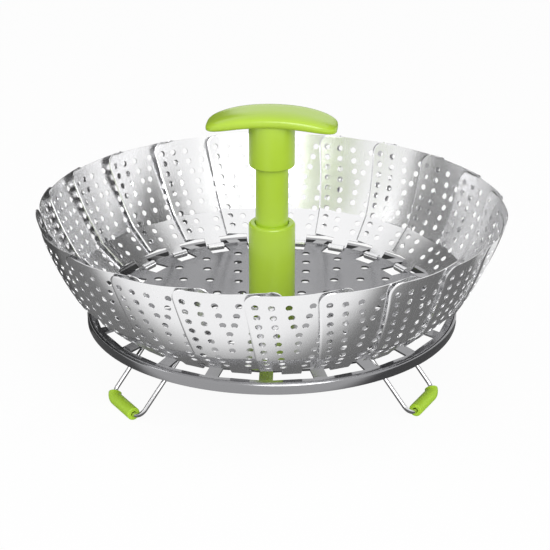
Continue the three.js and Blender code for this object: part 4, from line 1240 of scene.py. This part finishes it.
class STEAMER_OT_post(bpy.types.Operator):
    """Makes the socket, the sliding tube and the T-grip."""

    bl_idname = "steamer.post"
    bl_label = "Make post"

    def execute(self, context):
        sizes = context.scene.steamer_post
        looks = context.scene.steamer_finishes
        skin = {"pits": 1100.0, "depth": 0.1, "sheen": 0.7}
        green = moulded_finish("green_plastic", looks.green, looks.green_gloss, **skin)
        self.make_socket(sizes, green)
        self.make_tube(sizes, green)
        self.make_grip(sizes, green)
        rubber = moulded_finish("dark_rubber", looks.dark, gloss=0.7, pits=1500.0, depth=0.2)
        dress(["friction_ring"], rubber)
        plastic = moulded_finish("pale_plastic", looks.pale, gloss=0.55, pits=1200.0, depth=0.1)
        dress(["socket_plug"], plastic)
        return {"FINISHED"}

    def make_socket(self, sizes, green):
        low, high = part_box("post_socket")
        bore = high.x - sizes.socket_wall
        lip = sizes.tube_radius + sizes.slide_gap
        outline = [
            (bore, low.z, 0),
            (high.x, low.z, sizes.lip_edge),
            (high.x, high.z, sizes.socket_edge),
            (lip, high.z, sizes.lip_edge),
            (lip, high.z - sizes.socket_lip, 0),
            (bore, high.z - sizes.socket_lip, 0),
        ]
        mesh = to_mesh("socket", lathe(rounded(outline)))
        show("post_socket_shell", mesh, green, "base", "green_plastic", "post_socket")

    def make_tube(self, sizes, green):
        low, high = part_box("post_tube")
        inside = sizes.tube_radius - sizes.tube_wall
        outline = [
            (inside, low.z, 0),
            (high.x, low.z, 0),
            (high.x, low.z + sizes.tube_flange, 0),
            (sizes.tube_radius, low.z + sizes.tube_flange, 0),
            (sizes.tube_radius, high.z, sizes.lip_edge),
            (inside, high.z, sizes.lip_edge),
        ]
        mesh = to_mesh("tube", lathe(rounded(outline)))
        show("post_tube_shell", mesh, green, "handle", "green_plastic", "post_tube")

    def make_grip(self, sizes, green):
        low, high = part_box("handle_grip")
        bottom = high.z - 2 * sizes.paddle_edge - sizes.paddle_crown
        bore = sizes.tube_radius + sizes.seat_gap
        bore_top = low.z + sizes.seat_depth + sizes.seat_gap
        outline = [
            (0, bore_top, 0),
            (bore, bore_top, 0),
            (bore, low.z, sizes.lip_edge),
            (sizes.grip_radius, low.z, sizes.grip_edge),
            (sizes.grip_radius, bottom + sizes.paddle_lap, 0),
            (0, bottom + sizes.paddle_lap, 0),
        ]
        sleeve = to_mesh("grip_sleeve", lathe(rounded(outline)))
        paddle = to_mesh("grip_paddle", paddle_form(sizes, bottom))
        mesh = joined("grip", paddle, sleeve)
        mesh.transform(Matrix.Rotation(sizes.grip_turn, 4, "Z"))
        show("handle_t_grip", mesh, green, "handle", "green_plastic", "handle_grip")


class STEAMER_OT_stage(bpy.types.Operator):
    """Sets up the floor, the cards, the soft light and the camera."""

    bl_idname = "steamer.stage"
    bl_label = "Set stage"

    def execute(self, context):
        settings = context.scene.steamer_stage
        context.scene.view_settings.view_transform = "Standard"
        self.make_world(context.scene, settings)
        self.make_floor(settings)
        self.make_cards(settings)
        aim = Vector((0, 0, settings.aim))
        self.add_light("key_light", settings.key, KEY_SIZE, KEY_PLACE, aim)
        self.add_light("left_light", settings.rim, LEFT_SIZE, LEFT_PLACE, aim)
        self.add_camera(context.scene, settings)
        return {"FINISHED"}

    def seen(self, maker):
        """1 for rays from the camera and rays that metal reflects, 0 for light that falls on the basket."""
        path = maker.shade("LightPath")
        kinds = ("Is Camera Ray", "Is Glossy Ray", "Is Transmission Ray")
        camera, glossy, through = [maker.value(path, kind) for kind in kinds]
        return camera + glossy + through

    def make_world(self, scene, settings):
        world = bpy.data.worlds.new("studio")
        world.use_nodes = True
        scene.world = world
        maker = Maker(world.node_tree)
        plain = world.node_tree.nodes["Background"]
        plain.inputs["Strength"].default_value = settings.fill
        plain.inputs["Color"].default_value = WHITE
        white = maker.shade("Background", {"Color": WHITE, "Strength": 1.0})
        mixed = maker.shade("MixShader", {0: self.seen(maker), 1: plain, 2: white})
        maker.feed(world.node_tree.nodes["World Output"].inputs[0], mixed)

    def make_sheet(self, name, corners, shader):
        """Adds one flat sheet to the stage, with the shader that a function makes for it."""
        mesh = bpy.data.meshes.new(name)
        mesh.from_pydata(corners, [], [(0, 1, 2, 3)])
        material = bpy.data.materials.new(name)
        material.use_nodes = True
        material.node_tree.nodes.remove(material.node_tree.nodes["Principled BSDF"])
        maker = Maker(material.node_tree)
        maker.feed(material.node_tree.nodes["Material Output"].inputs[0], shader(maker))
        mesh.materials.append(material)
        sheet = bpy.data.objects.new(name, mesh)
        bpy.context.scene.collection.objects.link(sheet)
        return sheet

    def make_floor(self, settings):
        """A white floor that keeps a soft shadow and looks darker in the metal near the basket, where its
        glow is dimmed as painted shade.
        """

        def shader(maker):
            place = maker.shade("TexCoord").outputs["Object"]
            axes = maker.shade("SeparateXYZ", {0: place})
            # Painted shade: for rays that the metal reflects, the floor's glow is dimmed near the basket,
            # reaching further back at the left
            forward = maker.value(axes, "X") * -settings.floor_skew - maker.value(axes, "Y")
            span = {"From Min": settings.floor_near, "From Max": settings.floor_far}
            dimming = {"Value": forward, **span, "To Min": 1 - settings.floor_painted_shade, "To Max": 0.0}
            ramp = maker.shade("MapRange", dimming, interpolation_type="SMOOTHSTEP")
            dim = maker.value(ramp)
            glossy = maker.value(maker.shade("LightPath"), "Is Glossy Ray")
            paper = maker.shade("BsdfDiffuse", {"Color": FLOOR_PAPER})
            light = {"Color": WHITE, "Strength": 1.0 - glossy * dim}
            glow = maker.shade("Emission", light)
            shown = self.seen(maker) * settings.floor_glow
            return maker.shade("MixShader", {0: shown, 1: paper, 2: glow})

        corners = self.lying((-FLOOR_REACH, -FLOOR_REACH), (FLOOR_REACH, FLOOR_REACH), 0)
        self.make_sheet("floor", corners, shader)

    def make_cards(self, settings):
        """Cards beside and behind the basket and on the floor, which only the metal reflects: painted
        reflections of dark surroundings, a painted shadow on the floor at the left and painted light on the
        floor at the right.
        """
        side, back, front = settings.card_side, settings.card_back, -settings.card_front
        gap_left, gap_right = settings.card_gap_left, settings.card_gap_right
        low, right_low, high = settings.card_low, settings.card_right_low, settings.card_high
        near, far = settings.card_floor_in, settings.card_floor_out
        dark, light = settings.card_dark, settings.card_light
        # Painted reflections: dark cards at the sides of the basket and behind it
        self.make_card("left_card", self.upright((-side, front), (-side, back), low, high), dark)
        self.make_card("right_card", self.upright((side, front), (side, back), right_low, high), dark)
        self.make_card("back_left_card", self.upright((-side, back), (gap_left, back), low, high), dark)
        self.make_card("back_right_card", self.upright((gap_right, back), (side, back), low, high), dark)
        # Painted shadow on the floor at the left and back, seen only in the metal
        self.make_card("floor_left_card", self.lying((-far, near), (-near, far), CARD_RISE), dark)
        # Painted light on the floor at the right, seen only in the metal
        light_corner = (settings.card_light_right, settings.card_light_back)
        self.make_card("floor_right_card", self.lying(light_corner, (far, far), CARD_RISE), light)

    def upright(self, first, last, low, high):
        """The corners of an upright card between two places on the floor."""
        return [(*first, low), (*last, low), (*last, high), (*first, high)]

    def lying(self, first, last, height):
        """The corners of a level sheet between two opposite corners."""
        (left, front), (right, back) = first, last
        corners = ((left, front), (right, front), (right, back), (left, back))
        return [(x, y, height) for x, y in corners]

    def make_card(self, name, corners, shade):
        """Adds one card of an even shade, which lights nothing and which the camera doesn't see: a painted
        reflection that only the metal sees.
        """
        light = {"Color": (shade, shade, shade, 1), "Strength": 1.0}
        card = self.make_sheet(name, corners, lambda maker: maker.shade("Emission", light))
        card.visible_camera = False
        card.visible_diffuse = False
        card.visible_shadow = False

    def add_light(self, name, watts, size, place, aim):
        lamp = bpy.data.lights.new(name, "AREA")
        lamp.shape = "DISK"
        lamp.size = size
        lamp.energy = watts
        light = bpy.data.objects.new(name, lamp)
        light.location = place
        light.rotation_euler = (aim - place).to_track_quat("-Z", "Y").to_euler()
        bpy.context.scene.collection.objects.link(light)

    def add_camera(self, scene, settings):
        camera = bpy.data.cameras.new("photo_camera")
        camera.sensor_width = SENSOR_WIDTH
        camera.lens = settings.lens
        camera.shift_x = settings.shift_right
        camera.shift_y = settings.shift_up
        camera.clip_start = CLIP_START
        view = bpy.data.objects.new("photo_camera", camera)
        back = settings.distance * math.cos(settings.elevation)
        up = settings.distance * math.sin(settings.elevation)
        view.location = (0, -back, settings.aim + up)
        view.rotation_euler = (math.pi / 2 - settings.elevation, 0, 0)
        scene.collection.objects.link(view)
        scene.camera = view


class STEAMER_PT_panel(bpy.types.Panel):
    """Lists what can be made."""

    bl_idname = "STEAMER_PT_panel"
    bl_label = "Steamer basket"
    bl_space_type = "VIEW_3D"
    bl_region_type = "UI"
    bl_category = "Steamer"

    def draw(self, context):
        for operator in OPERATORS:
            self.layout.operator(operator.bl_idname)


GROUPS = {
    "steamer_petals": PetalSizes,
    "steamer_holes": HoleSizes,
    "steamer_tray": TraySizes,
    "steamer_legs": LegSizes,
    "steamer_post": PostSizes,
    "steamer_finishes": Finishes,
    "steamer_stage": StageSettings,
}
OPERATORS = (
    STEAMER_OT_petals,
    STEAMER_OT_tray,
    STEAMER_OT_legs,
    STEAMER_OT_fixings,
    STEAMER_OT_post,
    STEAMER_OT_stage,
)


def register():
    for name, group in GROUPS.items():
        bpy.utils.register_class(group)
        setattr(bpy.types.Scene, name, bpy.props.PointerProperty(type=group))
    for operator in OPERATORS:
        bpy.utils.register_class(operator)
    bpy.utils.register_class(STEAMER_PT_panel)


def unregister():
    bpy.utils.unregister_class(STEAMER_PT_panel)
    for operator in reversed(OPERATORS):
        bpy.utils.unregister_class(operator)
    for name, group in reversed(GROUPS.items()):
        delattr(bpy.types.Scene, name)
        bpy.utils.unregister_class(group)


def main():
    register()
    bpy.ops.steamer.petals()
    bpy.ops.steamer.tray()
    bpy.ops.steamer.legs()
    bpy.ops.steamer.fixings()
    bpy.ops.steamer.post()
    bpy.ops.steamer.stage()


if __name__ == "__main__":
    main()
